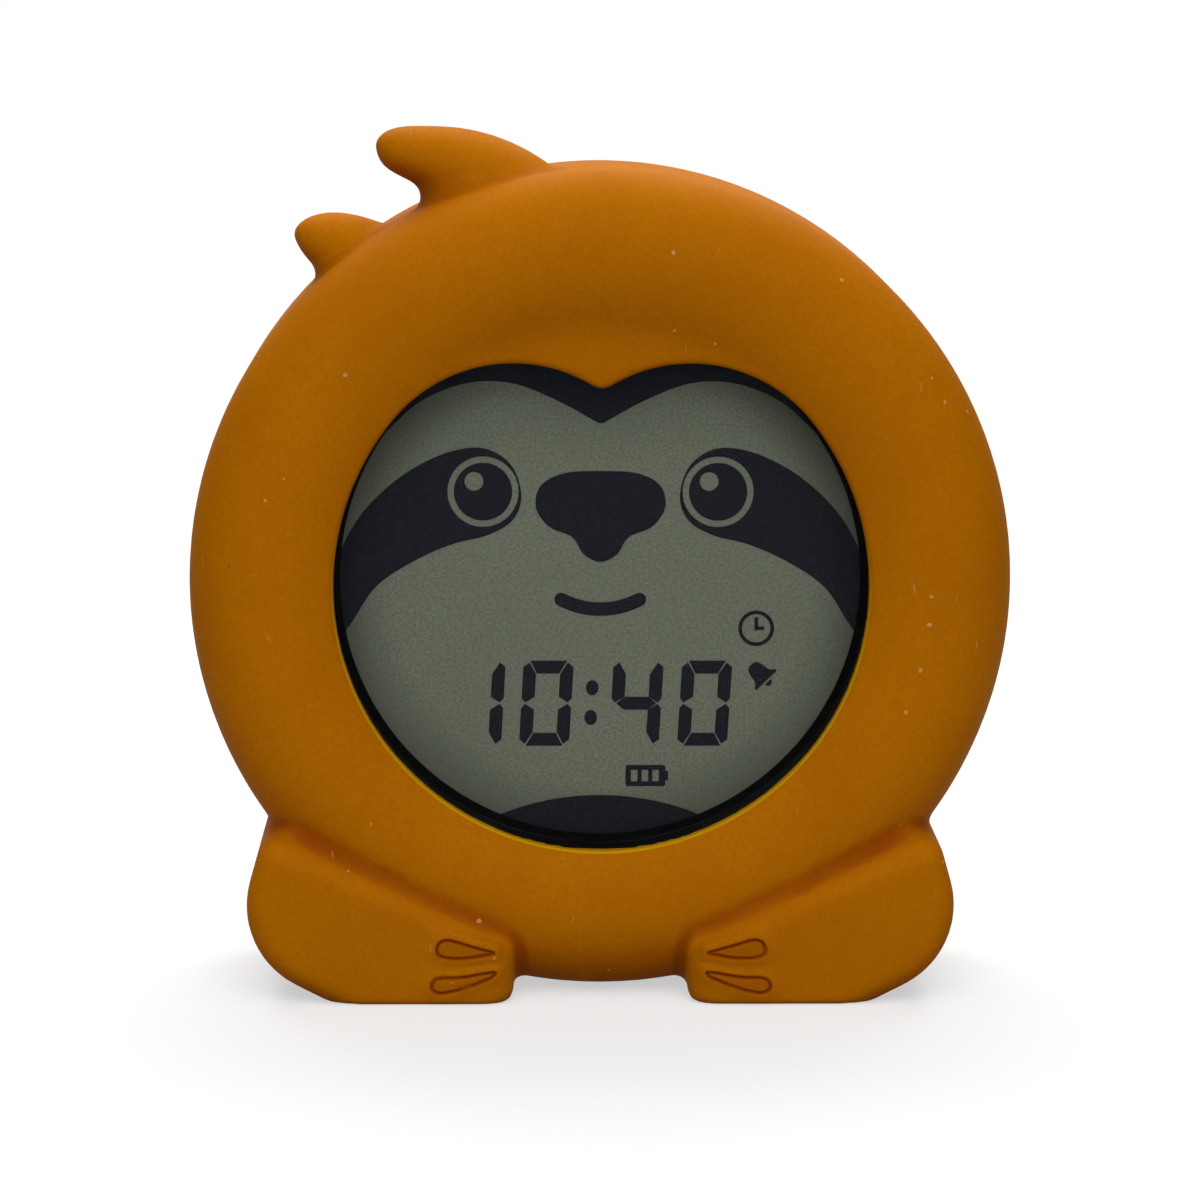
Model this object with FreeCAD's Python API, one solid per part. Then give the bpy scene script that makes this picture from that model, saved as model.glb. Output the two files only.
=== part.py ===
import FreeCAD, Part
import math
import os
from FreeCAD import Vector

# Kids alarm clock with a night light: a round clock in a soft cover shaped as a small animal.
# Sizes are in millimetres. +Z is up and the display looks along -Y. The origin is on the
# surface that the clock stands on, under the middle of its outline. Heights in the functions
# below are counted from the centre of the round body.

# Overall form
BODY_RADIUS = 59.0
BODY_DEPTH = 42.0
BODY_LIFT = 0.3
RING_WIDTH = 20.9
RING_SHOULDER = 11.0
CREST_SETBACK = 2.6
DISH_ROUND = 18.0
DISH_SLOPE = 30.0
BROW_ROUND = 14.0
BROW_SLOPE = 8.0
REAR_ROUND = 6.0

# Walls and clearances
COVER_WALL = 2.4
COVER_GAP = 0.3
SHELL_WALL = 2.0
FIT_GAP = 0.3
GUIDE_GAP = 0.2
SHEET_GAP = 0.1
THREAD_GAP = 0.05
PASS_GAP = 0.25
MERGE = 0.5
OVERCUT = 1.0

# Seam between the two halves of the housing
SEAM_TONGUE = 1.4
SEAM_REBATE = 1.6

# Window with two round lobes at the top
LOBE_INSET = 16.45
LOBE_ANGLE = 39.1
NOTCH_ROUND = 2.6
LIP_ROUND = 0.8
WINDOW_DEPTH = 12.6

# Paws: corners of the outline as distance in from the side of the round body, height above
# the ground, rounding
PAW_CORNERS = [
    (11.0, 25.0, 3.0),
    (5.9, 7.1, 13.0),
    (24.4, -2.4, 6.0),
    (46.6, -2.4, 5.0),
    (46.6, 8.7, 3.5),
]
PAW_EDGE = 3.5
PAW_FOOT_EDGE = 0.6
PAW_BACK_SETBACK = 4.0
PAW_VALLEY = 2.0

# Claws: round end and tip of each, measured like the corners of the paws
CLAWS = [
    ((36.5, 7.8), (43.4, 6.9), 1.4),
    ((36.3, 2.6), (43.7, 4.3), 1.3),
]
CLAW_DEPTH = 0.8
CLAW_BOW = 0.72

# Hair tufts: centre line as offset and height above the top of the round body, half height,
# half depth
LARGE_TUFT = [
    (-32.3, 2.8, 0.0, 0.0),
    (-31.6, 2.8, 1.7, 2.2),
    (-30.4, 2.6, 2.75, 3.6),
    (-28.2, 2.2, 3.6, 4.8),
    (-24.0, 1.2, 4.7, 6.0),
    (-18.0, -1.0, 6.0, 7.2),
    (-12.2, -4.6, 6.8, 7.8),
    (-7.2, -9.2, 7.0, 8.0),
    (-3.0, -14.5, 7.0, 8.0),
]
SMALL_TUFT = [
    (-44.0, -10.0, 0.0, 0.0),
    (-43.3, -9.9, 1.6, 2.1),
    (-42.0, -10.0, 2.85, 3.5),
    (-39.5, -10.5, 4.15, 4.9),
    (-35.5, -12.4, 5.5, 6.0),
    (-30.0, -16.0, 6.8, 7.0),
    (-25.0, -20.0, 7.2, 7.5),
]
TUFT_Y = -1.0
TUFT_VALLEY = 2.5

# Display stack, from the lens to the back of its tray
BEZEL_GAP = 0.4
BEZEL_WALL = 1.2
LENS_MARGIN = 4.2
LENS_SEAT_WIDTH = 1.5
LENS_THICKNESS = 1.5
GASKET_THICKNESS = 0.3
GLASS_MARGIN = 1.4
GLASS_THICKNESS = 1.3
GLASS_TAIL = 3.5
GLASS_TAIL_SETIN = 0.36
SHEET_THICKNESS = 0.3
GUIDE_THICKNESS = 2.5
TRAY_WALL = 1.2
TRAY_SCREW_OUT = 3.9
TRAY_SCREW_ANGLES = (90.0, 180.0, 0.0)
TRAY_SCREW_LENGTH = 7.5
TRAY_BOSS_RADIUS = 2.8
TRAY_EAR_HALF = 3.4
TRAY_PAD_RADIUS = 2.6
CONNECTOR_SETIN = 1.0
CONNECTOR_THICKNESS = 2.0
LAMP_REACH = 16.0
LAMP_SIZE = (3.5, 1.2, 2.8)
LAMP_HOLE = 2.6

# Circuit boards
BOARD_THICKNESS = 1.6
BOARD_CORNER = 6.0
BOARD_STANDOFF = 0.5
BOARD_SCREW_X = 20.0
BOARD_SCREW_Z = 34.0
KEY_BOARD_LOW = 4.8
KEY_BOARD_HIGH = 30.0
KEY_BOARD_TAB = 36.0
KEY_BOARD_TAB_HALF = 12.0
KEY_BOARD_CORNER = 2.0
KEY_POST_X = 16.0
KEY_POST_Z = 17.2
KEY_POST_RADIUS = 2.4
KEY_SCREW_LENGTH = 5.5
HEADER_HALF = 7.6
HEADER_Z = 33.6
HEADER_DEPTH = 2.5
CHIP_Z = 14.0
CHIP_RADIUS = 6.0
CHIP_HEIGHT = 1.6
CRYSTAL_X = 11.0
CRYSTAL_Z = 20.0
CRYSTAL_SIZE = (3.2, 2.2, 8.0)
CAPACITOR_X = -20.0
CAPACITOR_Z = 24.0
CAPACITOR_RADIUS = 2.5
CAPACITOR_HEIGHT = 4.6

# Rear wall and its panel
REAR_LIP = 9.0
PANEL_GAP = 0.4
PANEL_SETBACK = 1.4
PANEL_WALL = 2.0
PANEL_EDGE = 0.7
HOUSING_SCREW_INSET = 3.8
HOUSING_SCREW_ANGLE = 38.5
HOUSING_SCREW_LENGTH = 11.5
HOUSING_SCREW_SEAT = 4.0
HOUSING_SCREW_BITE = 9.0
FRONT_BOSS_RADIUS = 3.2

# Push buttons: name, offset, height above the centre, half the straight length of the cap
BUTTONS = [
    ("time_button", -24.0, 24.0, 0.0),
    ("alarm_button", -8.0, 24.0, 0.0),
    ("mode_button", 8.0, 24.0, 0.0),
    ("minus_button", -27.0, 10.0, 0.0),
    ("light_button", 0.0, 10.0, 7.5),
    ("plus_button", 27.0, 10.0, 0.0),
]
BUTTON_RADIUS = 4.6
BUTTON_RISE = 1.2
BUTTON_TRAVEL = 0.7
BUTTON_FLANGE = 1.2
BUTTON_FLANGE_THICKNESS = 0.9
BUTTON_EDGE = 0.6
KEY_SIZE = 6.0
KEY_HEIGHT = 3.5
KEY_RISE = 0.8
PLUNGER_RADIUS = 1.7
PLUNGER_GAP = 0.1
PLUNGER_PLAY = 0.4
KEY_FLOOR = 0.3

# Alarm slide switch
SWITCH_X = 24.0
SWITCH_Z = 24.0
SWITCH_THROW = 4.0
SWITCH_BODY = (12.0, 5.0, 4.4)
SWITCH_STEM = (2.4, 1.8)
SWITCH_CAP = (5.0, 4.4)
SWITCH_RISE = 1.0
SWITCH_SINK = 0.8
SWITCH_FLOOR = 1.4
SWITCH_GROOVE = 0.5
SWITCH_GROOVE_PITCH = 1.2

# Speaker and its grille
SPEAKER_Z = 38.0
SPEAKER_RADIUS = 8.5
SPEAKER_DEPTH = 3.0
MAGNET_RADIUS = 5.0
MAGNET_DEPTH = 2.0
GRILLE_HOLE = 0.7
GRILLE_PITCH = 2.9
SPEAKER_RING_WALL = 1.4
SPEAKER_RING_HEIGHT = 2.0
SPEAKER_RIM = 0.9
SPEAKER_FLOOR = 0.5
SPEAKER_PIN_RADIUS = 0.5
SPEAKER_PIN_ANGLE = -28.0

# Battery bay for three small round cells
CELL_RADIUS = 5.25
CELL_LENGTH = 44.5
CELL_NUB_RADIUS = 1.9
CELL_NUB_LENGTH = 0.8
CELL_SPACING = 0.7
CELL_SIDE_GAP = 0.55
CELL_DOOR_GAP = 0.4
CELL_EDGE = 0.4
BAY_CENTRE = -20.0
BAY_WALL = 1.5
BAY_FLOOR = 1.0
SPRING_ROOM = 5.2
PLATE_ROOM = 1.2
PLATE_THICKNESS = 0.4
PLATE_MARGIN = 0.8
PLATE_TAB_HALF = 1.2
PLATE_SLOT_HALF = 1.5
SPRING_TURNS = 3
SPRING_WIRE = 0.3
SPRING_RADII = (3.0, 2.2)
DOOR_WALL = 2.2
DOOR_COLLAR = 1.6
DOOR_BELOW = 2.0
DOOR_LEDGE = 2.5
DOOR_TONGUE = 5.6
DOOR_CORNER = 4.0
DOOR_TAB_X = 15.0
DOOR_TAB_HALF = 3.0
DOOR_TAB_REACH = 2.0
DOOR_TAB_DROP = 1.5
DOOR_TAB_THICKNESS = 1.2
DOOR_TAB_ROOT = 1.6
DOOR_EDGE = 0.4
DOOR_SCREW_LENGTH = 5.5
DOOR_SCREW_SINK = 1.2
DOOR_SCREW_HEAD_HEIGHT = 1.1
DOOR_SCREW_HEAD_GAP = 0.3
DOOR_BOSS_RADIUS = 3.6
DOOR_HOLE_RADII = (1.35, 2.1)
GRIP_HALF = 7.0
GRIP_WIDTH = 1.2
GRIP_DEPTH = 0.5
GRIP_DROPS = (5.0, 7.4, 9.8)

# Screws: head radius, head height, shank radius
HOUSING_SCREW = (2.5, 1.8, 1.1)
SMALL_SCREW = (2.1, 1.3, 0.95)
SLOT_REACH = 0.55
SLOT_HALF = 0.3

# Places worked out from the sizes above
FRONT_Y = -BODY_DEPTH / 2
BACK_Y = BODY_DEPTH / 2
CENTRE_Z = BODY_RADIUS + BODY_LIFT
CREST_RADIUS = BODY_RADIUS - RING_SHOULDER
CREST_Y = FRONT_Y + CREST_SETBACK
WINDOW_RADIUS = BODY_RADIUS - RING_WIDTH
LOBE_RADIUS = WINDOW_RADIUS - LOBE_INSET
SHELL_OUT = COVER_WALL + COVER_GAP
SHELL_IN = SHELL_OUT + SHELL_WALL
SHELL_INNER_RADIUS = BODY_RADIUS - SHELL_IN

GLASS_Y = CREST_Y + WINDOW_DEPTH
LENS_BACK = GLASS_Y - GASKET_THICKNESS
LENS_FRONT = LENS_BACK - LENS_THICKNESS
LENS_RADIUS = WINDOW_RADIUS + LENS_MARGIN
GLASS_HALF = WINDOW_RADIUS + GLASS_MARGIN
GLASS_TAIL_HALF = GLASS_HALF * math.tan(math.radians(22.5)) - GLASS_TAIL_SETIN
DIFFUSER_Y = GLASS_Y + 2 * GLASS_THICKNESS + SHEET_GAP
GUIDE_Y = DIFFUSER_Y + SHEET_THICKNESS + SHEET_GAP
REFLECTOR_Y = GUIDE_Y + GUIDE_THICKNESS + SHEET_GAP
TRAY_FLOOR_Y = REFLECTOR_Y + SHEET_THICKNESS + SHEET_GAP
TRAY_BACK_Y = TRAY_FLOOR_Y + TRAY_WALL
TRAY_INNER = GLASS_HALF + GUIDE_GAP
TRAY_OUTER = TRAY_INNER + TRAY_WALL
TRAY_SCREW_RADIUS = LENS_RADIUS + TRAY_SCREW_OUT
CONNECTOR_Z = -GLASS_HALF - GLASS_TAIL / 2
CONNECTOR_HALF = GLASS_TAIL_HALF - CONNECTOR_SETIN

BOARD_Y = TRAY_BACK_Y + BOARD_STANDOFF
BOARD_BACK = BOARD_Y + BOARD_THICKNESS
PARTING_Y = BOARD_Y

PANEL_RADIUS = BODY_RADIUS - REAR_LIP - PANEL_GAP
PANEL_Y = BACK_Y - PANEL_SETBACK
PANEL_INNER = PANEL_Y - PANEL_WALL
HOUSING_SCREW_RADIUS = PANEL_RADIUS - HOUSING_SCREW_INSET
HOUSING_BOSS = HOUSING_SCREW[0] + HOUSING_SCREW[1]
HOUSING_SCREW_X = HOUSING_SCREW_RADIUS * math.cos(math.radians(HOUSING_SCREW_ANGLE))
HOUSING_SCREW_Z = HOUSING_SCREW_RADIUS * math.sin(math.radians(HOUSING_SCREW_ANGLE))
BOARD_HALF = HOUSING_SCREW_X - HOUSING_BOSS - 2 * FIT_GAP
BOARD_TOP = GLASS_HALF - 1.5
BOARD_BOTTOM = -GLASS_HALF - GLASS_TAIL - 0.5

FLANGE_TOP = PANEL_INNER - GUIDE_GAP
FLANGE_BASE = FLANGE_TOP - BUTTON_FLANGE_THICKNESS
PLUNGER_TOP = FLANGE_BASE - PLUNGER_PLAY
KEY_TOP = PLUNGER_TOP - KEY_RISE
KEY_BOARD_BACK = KEY_TOP - KEY_HEIGHT
KEY_BOARD_Y = KEY_BOARD_BACK - BOARD_THICKNESS

CELL_PITCH = 2 * CELL_RADIUS + CELL_SPACING
CELL_Y = PANEL_Y - DOOR_WALL - CELL_DOOR_GAP - CELL_RADIUS
BAY_HALF = (CELL_LENGTH + SPRING_ROOM + PLATE_ROOM) / 2
BAY_FLOOR_Y = CELL_Y - CELL_RADIUS - FIT_GAP
BAY_TOP = BAY_CENTRE + CELL_PITCH + CELL_RADIUS + CELL_SIDE_GAP
BAY_BOTTOM = BAY_CENTRE - CELL_PITCH - CELL_RADIUS - CELL_SIDE_GAP
DOOR_HALF = BAY_HALF + DOOR_LEDGE
DOOR_TOP = BAY_TOP + DOOR_TONGUE
DOOR_BOTTOM = BAY_BOTTOM - DOOR_BELOW
DOOR_INNER = PANEL_Y - DOOR_WALL
DOOR_SCREW_Z = BAY_TOP + DOOR_TONGUE / 2
DOOR_SCREW_HEAD = PANEL_Y - DOOR_SCREW_SINK
CELL_ROWS = (1, 0, -1)


# Basic shapes, placed from the centre of the round body

def point(x, y, z):
    return Vector(x, y, CENTRE_Z + z)


def box(x0, x1, y0, y1, z0, z1):
    return Part.makeBox(x1 - x0, y1 - y0, z1 - z0, point(x0, y0, z0))


def rod(x, z, radius, y0, y1):
    return Part.makeCylinder(radius, y1 - y0, point(x, y0, z), Vector(0, 1, 0))


def cone(x, z, radius0, radius1, y0, y1):
    return Part.makeCone(radius0, radius1, y1 - y0, point(x, y0, z), Vector(0, 1, 0))


def pill(x, z, half, radius, y0, y1):
    if half == 0:
        return rod(x, z, radius, y0, y1)
    corners = [
        (x - half - radius, z + radius, radius - 0.01),
        (x - half - radius, z - radius, radius - 0.01),
        (x + half + radius, z - radius, radius - 0.01),
        (x + half + radius, z + radius, radius - 0.01),
    ]
    return plate(rounded_outline(corners), y0, y1)


def polar(radius, angle):
    turn = math.radians(angle)
    return (radius * math.cos(turn), radius * math.sin(turn))


def plate(outline, y0, y1):
    wire = outline(y0)
    return Part.Face(wire).extrude(Vector(0, y1 - y0, 0))


def joined(shapes):
    return shapes[0].fuse(list(shapes[1:])).removeSplitter()


def rounded_outline(corners):
    # Closed outline through straight sides, with each corner rounded by its own radius
    def wire(y):
        ends = []
        for i, (bx, bz, radius) in enumerate(corners):
            ax, az, _ = corners[i - 1]
            cx, cz, _ = corners[(i + 1) % len(corners)]
            corner = point(bx, y, bz)
            back = (point(ax, y, az) - corner).normalize()
            ahead = (point(cx, y, cz) - corner).normalize()
            if radius <= 0:
                ends.append((corner, None, corner))
                continue
            half = back.getAngle(ahead) / 2
            reach = radius / math.tan(half)
            inward = (back + ahead).normalize()
            middle = corner + inward * (radius / math.sin(half) - radius)
            ends.append((corner + back * reach, middle, corner + ahead * reach))
        edges = []
        for i, (start, middle, end) in enumerate(ends):
            if middle is not None:
                edges.append(Part.Arc(start, middle, end).toShape())
            follow = ends[(i + 1) % len(ends)][0]
            if (follow - end).Length > 1e-6:
                edges.append(Part.LineSegment(end, follow).toShape())
        return Part.Wire(edges)
    return wire


def window_outline(grow):
    # Large circle with two lobes inside it that touch it, and a rounded notch between them
    def wire(y):
        turn = math.radians(LOBE_ANGLE)
        lobe_x = LOBE_INSET * math.cos(turn)
        lobe_z = LOBE_INSET * math.sin(turn)
        window = WINDOW_RADIUS + grow
        lobe = LOBE_RADIUS + grow
        notch = NOTCH_ROUND - grow
        notch_z = lobe_z + math.sqrt((LOBE_RADIUS + NOTCH_ROUND) ** 2 - lobe_x ** 2)
        right = point(window * math.cos(turn), y, window * math.sin(turn))
        left = point(-window * math.cos(turn), y, window * math.sin(turn))
        low = point(0, y, -window)
        to_notch = Vector(-lobe_x, 0, notch_z - lobe_z).normalize()
        notch_right = point(lobe_x, y, lobe_z) + to_notch * lobe
        notch_left = Vector(-notch_right.x, y, notch_right.z)
        tip = point(0, y, notch_z - notch)
        top_right = point(lobe_x, y, lobe_z + lobe)
        top_left = point(-lobe_x, y, lobe_z + lobe)
        edges = [
            Part.Arc(left, low, right).toShape(),
            Part.Arc(right, top_right, notch_right).toShape(),
            Part.Arc(notch_right, tip, notch_left).toShape(),
            Part.Arc(notch_left, top_left, left).toShape(),
        ]
        return Part.Wire(edges)
    return wire


def glass_outline(half, tail=0.0, tail_half=0.0):
    # Eight-sided sheet, with a tail below for the contacts
    flat = half * math.tan(math.radians(22.5))
    corners = [(flat, half), (-flat, half), (-half, flat), (-half, -flat), (-flat, -half)]
    if tail > 0:
        corners += [(-tail_half, -half), (-tail_half, -half - tail)]
        corners += [(tail_half, -half - tail), (tail_half, -half)]
    corners += [(flat, -half), (half, -flat), (half, flat)]
    return rounded_outline([(x, z, 0.0) for x, z in corners])


def body_profile(inset):
    # Half section of the round body, moved inwards everywhere by the same distance
    dish = math.radians(DISH_SLOPE)
    brow = math.radians(BROW_SLOPE)

    def place(radius, y):
        return Vector(radius, y, CENTRE_Z)

    def arc(centre, radius, start, end):
        points = []
        for turn in (start, (start + end) / 2, end):
            out = centre[0] + radius * math.sin(turn)
            points.append(place(out, centre[1] - radius * math.cos(turn)))
        return Part.Arc(*points).toShape(), points[0], points[2]

    shoulder_centre = (CREST_RADIUS, CREST_Y + RING_SHOULDER)
    dish_centre = (CREST_RADIUS, CREST_Y + DISH_ROUND)
    reach = DISH_ROUND + BROW_ROUND
    brow_centre = (dish_centre[0] - reach * math.sin(dish), dish_centre[1] - reach * math.cos(dish))
    rear_centre = (BODY_RADIUS - REAR_ROUND, BACK_Y - REAR_ROUND)

    half_turn = math.pi
    brow_radius = BROW_ROUND + inset
    brow_arc, brow_start, _ = arc(brow_centre, brow_radius, half_turn - brow, half_turn - dish)
    dish_arc, _, _ = arc(dish_centre, DISH_ROUND - inset, -dish, 0)
    shoulder_arc, _, side = arc(shoulder_centre, RING_SHOULDER - inset, 0, half_turn / 2)
    rear_arc, rear_start, rear_end = arc(rear_centre, REAR_ROUND - inset, half_turn / 2, half_turn)
    axis_front = place(0, brow_start.y + brow_start.x * math.tan(brow))
    axis_back = place(0, rear_end.y)
    edges = [
        Part.LineSegment(axis_front, brow_start).toShape(),
        brow_arc,
        dish_arc,
        shoulder_arc,
        Part.LineSegment(side, rear_start).toShape(),
        rear_arc,
        Part.LineSegment(rear_end, axis_back).toShape(),
        Part.LineSegment(axis_back, axis_front).toShape(),
    ]
    return Part.Face(Part.Wire(edges))


def round_body(inset):
    return body_profile(inset).revolve(Vector(0, 0, CENTRE_Z), Vector(0, 1, 0), 360)


def edges_between(shape, first, second, shortest=0.05):
    # Edges of a shape that lie on the skins of both other shapes
    skins = [Part.makeShell(first.Faces), Part.makeShell(second.Faces)]
    found = []
    for edge in shape.Edges:
        if edge.Length < shortest:
            continue
        span = edge.LastParameter - edge.FirstParameter
        samples = [edge.valueAt(edge.FirstParameter + span * share) for share in (0.2, 0.5, 0.8)]
        vertices = [Part.Vertex(sample) for sample in samples]
        if all(skin.distToShape(vertex)[0] < 1e-3 for skin in skins for vertex in vertices):
            found.append(edge)
    return found


# Soft cover

def paw(side):
    corners = [(side * (BODY_RADIUS - x), z - CENTRE_Z, radius) for x, z, radius in PAW_CORNERS]
    back = BACK_Y - PAW_BACK_SETBACK
    block = plate(rounded_outline(corners), FRONT_Y, back)
    rims = [edge for edge in block.Edges if edge.BoundBox.YLength < 1e-6]
    block = block.makeFillet(PAW_EDGE, rims)
    reach = 2 * BODY_RADIUS
    ground = box(-reach, reach, -reach, reach, -CENTRE_Z - reach, -CENTRE_Z)
    block = block.cut(ground)
    foot = [edge for edge in block.Edges if edge.BoundBox.ZMax < 1e-4]
    return block.makeFillet(PAW_FOOT_EDGE, foot)


def tuft(spine):
    tip = spine[0]
    sections = [Part.Vertex(point(tip[0], TUFT_Y, BODY_RADIUS + tip[1]))]
    depth_axis = Vector(0, 1, 0)
    for i in range(1, len(spine)):
        before = spine[i - 1]
        after = spine[min(i + 1, len(spine) - 1)]
        x, z, half_height, half_depth = spine[i]
        along = Vector(after[0] - before[0], 0, after[1] - before[1]).normalize()
        across = along.cross(depth_axis)
        turn = FreeCAD.Rotation(depth_axis, across, along, "XYZ")
        ring = Part.Ellipse(Vector(0, 0, 0), half_depth, half_height).toShape()
        ring.Placement = FreeCAD.Placement(point(x, TUFT_Y, BODY_RADIUS + z), turn)
        sections.append(Part.Wire([ring]))
    return Part.makeLoft(sections, True, False)


def claw(side, round_end, tip, radius):
    # Drop-shaped recess: a round end and two long arcs that meet at the tip
    y = FRONT_Y - OVERCUT
    centre = point(side * (BODY_RADIUS - round_end[0]), y, round_end[1] - CENTRE_Z)
    end = point(side * (BODY_RADIUS - tip[0]), y, tip[1] - CENTRE_Z)
    along = (end - centre).normalize()
    across = Vector(-along.z, 0, along.x)
    far = centre - along * radius
    upper = centre + across * radius
    lower = centre - across * radius
    middle = (centre + end) * 0.5
    upper_bow = middle + across * radius * CLAW_BOW
    lower_bow = middle - across * radius * CLAW_BOW
    edges = [
        Part.Arc(upper, far, lower).toShape(),
        Part.Arc(lower, lower_bow, end).toShape(),
        Part.Arc(end, upper_bow, upper).toShape(),
    ]
    face = Part.Face(Part.Wire(edges))
    return face.extrude(Vector(0, OVERCUT + CLAW_DEPTH, 0))


def silicone_cover():
    core = round_body(0)
    paws = [paw(-1), paw(1)]
    tufts = [tuft(LARGE_TUFT), tuft(SMALL_TUFT)]
    form = core.fuse(paws + tufts)
    for radius, group in ((PAW_VALLEY, paws), (TUFT_VALLEY, tufts)):
        for piece in group:
            form = form.makeFillet(radius, edges_between(form, core, piece))
    form = form.cut(round_body(COVER_WALL))
    opening = rod(0, 0, PANEL_RADIUS + PANEL_GAP, BACK_Y - 2 * COVER_WALL, BACK_Y + OVERCUT)
    form = form.cut(opening)
    window = plate(window_outline(0), FRONT_Y - OVERCUT, PARTING_Y)
    form = form.cut(window)
    form = form.makeFillet(LIP_ROUND, edges_between(form, core, window))
    form = form.makeFillet(LIP_ROUND, edges_between(form, core, opening))
    claws = [claw(side, *shape) for side in (-1, 1) for shape in CLAWS]
    return form.cut(claws)


# Hard housing

def housing_screw_places():
    return [(sx * HOUSING_SCREW_X, sz * HOUSING_SCREW_Z) for sx in (-1, 1) for sz in (-1, 1)]


def tray_screw_places():
    return [polar(TRAY_SCREW_RADIUS, angle) for angle in TRAY_SCREW_ANGLES]


def seam_radius():
    return SHELL_INNER_RADIUS + SHELL_WALL / 2


def front_housing():
    outer = round_body(SHELL_OUT)
    inner = round_body(SHELL_IN)
    reach = 2 * BODY_RADIUS
    front_half = box(-reach, reach, -reach, PARTING_Y, -reach, reach)
    shell = outer.cut(inner).common(front_half)
    seat_y = LENS_FRONT - BEZEL_WALL
    seat_radius = LENS_RADIUS - SHEET_GAP
    seat = rod(0, 0, seat_radius, FRONT_Y, seat_y)
    seat = seat.cut(rod(0, 0, seat_radius - LENS_SEAT_WIDTH, FRONT_Y, seat_y))
    ribs = [seat]
    ribs += [rod(x, z, FRONT_BOSS_RADIUS, FRONT_Y, PARTING_Y) for x, z in housing_screw_places()]
    ribs += [rod(x, z, TRAY_BOSS_RADIUS, FRONT_Y, TRAY_FLOOR_Y) for x, z in tray_screw_places()]
    ribs = [rib.common(outer) for rib in ribs]
    housing = joined([shell] + ribs)
    window = plate(window_outline(BEZEL_GAP + BEZEL_WALL + SHEET_GAP), FRONT_Y, PARTING_Y)
    hole = HOUSING_SCREW[2] + THREAD_GAP
    deep = PARTING_Y - HOUSING_SCREW_BITE
    holes = [rod(x, z, hole, deep, PARTING_Y) for x, z in housing_screw_places()]
    hole = SMALL_SCREW[2] + THREAD_GAP
    deep = TRAY_BACK_Y - TRAY_SCREW_LENGTH - FIT_GAP
    holes += [rod(x, z, hole, deep, TRAY_FLOOR_Y) for x, z in tray_screw_places()]
    rebate = rod(0, 0, seam_radius() + SHEET_GAP, PARTING_Y - SEAM_REBATE, PARTING_Y)
    lens_room = rod(0, 0, LENS_RADIUS + SHEET_GAP, seat_y, PARTING_Y)
    return housing.cut([window, rebate, lens_room] + holes)


def rear_housing():
    outer = round_body(SHELL_OUT)
    inner = round_body(SHELL_IN)
    reach = 2 * BODY_RADIUS
    rear_half = box(-reach, reach, PARTING_Y, reach, -reach, reach)
    shell = outer.cut(inner).common(rear_half)
    lip_y = PARTING_Y - SEAM_TONGUE
    lip = rod(0, 0, seam_radius(), lip_y, PARTING_Y + MERGE)
    lip = lip.cut(rod(0, 0, SHELL_INNER_RADIUS, lip_y, PARTING_Y + MERGE))
    panel = rod(0, 0, PANEL_RADIUS, BACK_Y - SHELL_IN, PANEL_Y)
    rim = [edge for edge in panel.Edges if abs(edge.BoundBox.YMin - PANEL_Y) < 1e-6]
    panel = panel.makeFillet(PANEL_EDGE, [edge for edge in rim if edge.Closed])
    hollow = rod(0, 0, PANEL_RADIUS - SHELL_WALL, BACK_Y - SHELL_IN - OVERCUT, PANEL_INNER)
    root = PANEL_INNER + MERGE
    bosses = [rod(x, z, HOUSING_BOSS, PARTING_Y, root) for x, z in housing_screw_places()]
    posts = [rod(x, z, KEY_POST_RADIUS, KEY_BOARD_BACK, root) for x, z in key_post_places()]
    ring_inner = SPEAKER_RADIUS + FIT_GAP
    ring_y = PANEL_INNER - SPEAKER_RING_HEIGHT
    speaker_ring = rod(0, SPEAKER_Z, ring_inner + SPEAKER_RING_WALL, ring_y, root)
    speaker_ring = speaker_ring.cut(rod(0, SPEAKER_Z, ring_inner, ring_y, PANEL_INNER))
    housing = joined([shell, lip, panel]).cut(hollow)
    housing = joined([housing, bay_block(), speaker_ring] + bosses + posts)
    cuts = bay_cuts() + button_cuts() + switch_cuts() + grille_cuts()
    seat_y = PARTING_Y + HOUSING_SCREW_SEAT
    for x, z in housing_screw_places():
        cuts.append(rod(x, z, HOUSING_SCREW[0] + 2 * GUIDE_GAP, seat_y, PANEL_Y + OVERCUT))
        cuts.append(rod(x, z, HOUSING_SCREW[2] + FIT_GAP, PARTING_Y - OVERCUT, seat_y + OVERCUT))
    hole = SMALL_SCREW[2] + THREAD_GAP
    for x, z in key_post_places():
        cuts.append(rod(x, z, hole, KEY_BOARD_BACK - OVERCUT, PANEL_INNER - OVERCUT))
    return housing.cut(cuts)


def key_post_places():
    return [(side * KEY_POST_X, KEY_POST_Z) for side in (-1, 1)]


def bay_block():
    # Battery box with a collar round the door and a screw boss above it
    floor = BAY_FLOOR_Y - BAY_FLOOR
    side = BAY_HALF + BAY_WALL
    root = PANEL_INNER + MERGE
    walls = box(-side, side, floor, root, BAY_BOTTOM - BAY_WALL, BAY_TOP + BAY_WALL)
    half = DOOR_HALF + DOOR_COLLAR
    collar_y = DOOR_INNER - SHELL_WALL
    collar = box(-half, half, collar_y, root, DOOR_BOTTOM - DOOR_COLLAR, DOOR_TOP + DOOR_COLLAR)
    collar = collar.common(rod(0, 0, SHELL_INNER_RADIUS, collar_y, PANEL_Y))
    boss = rod(0, DOOR_SCREW_Z, DOOR_BOSS_RADIUS, KEY_BOARD_BACK, PANEL_INNER)
    return joined([walls, collar, boss])


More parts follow.
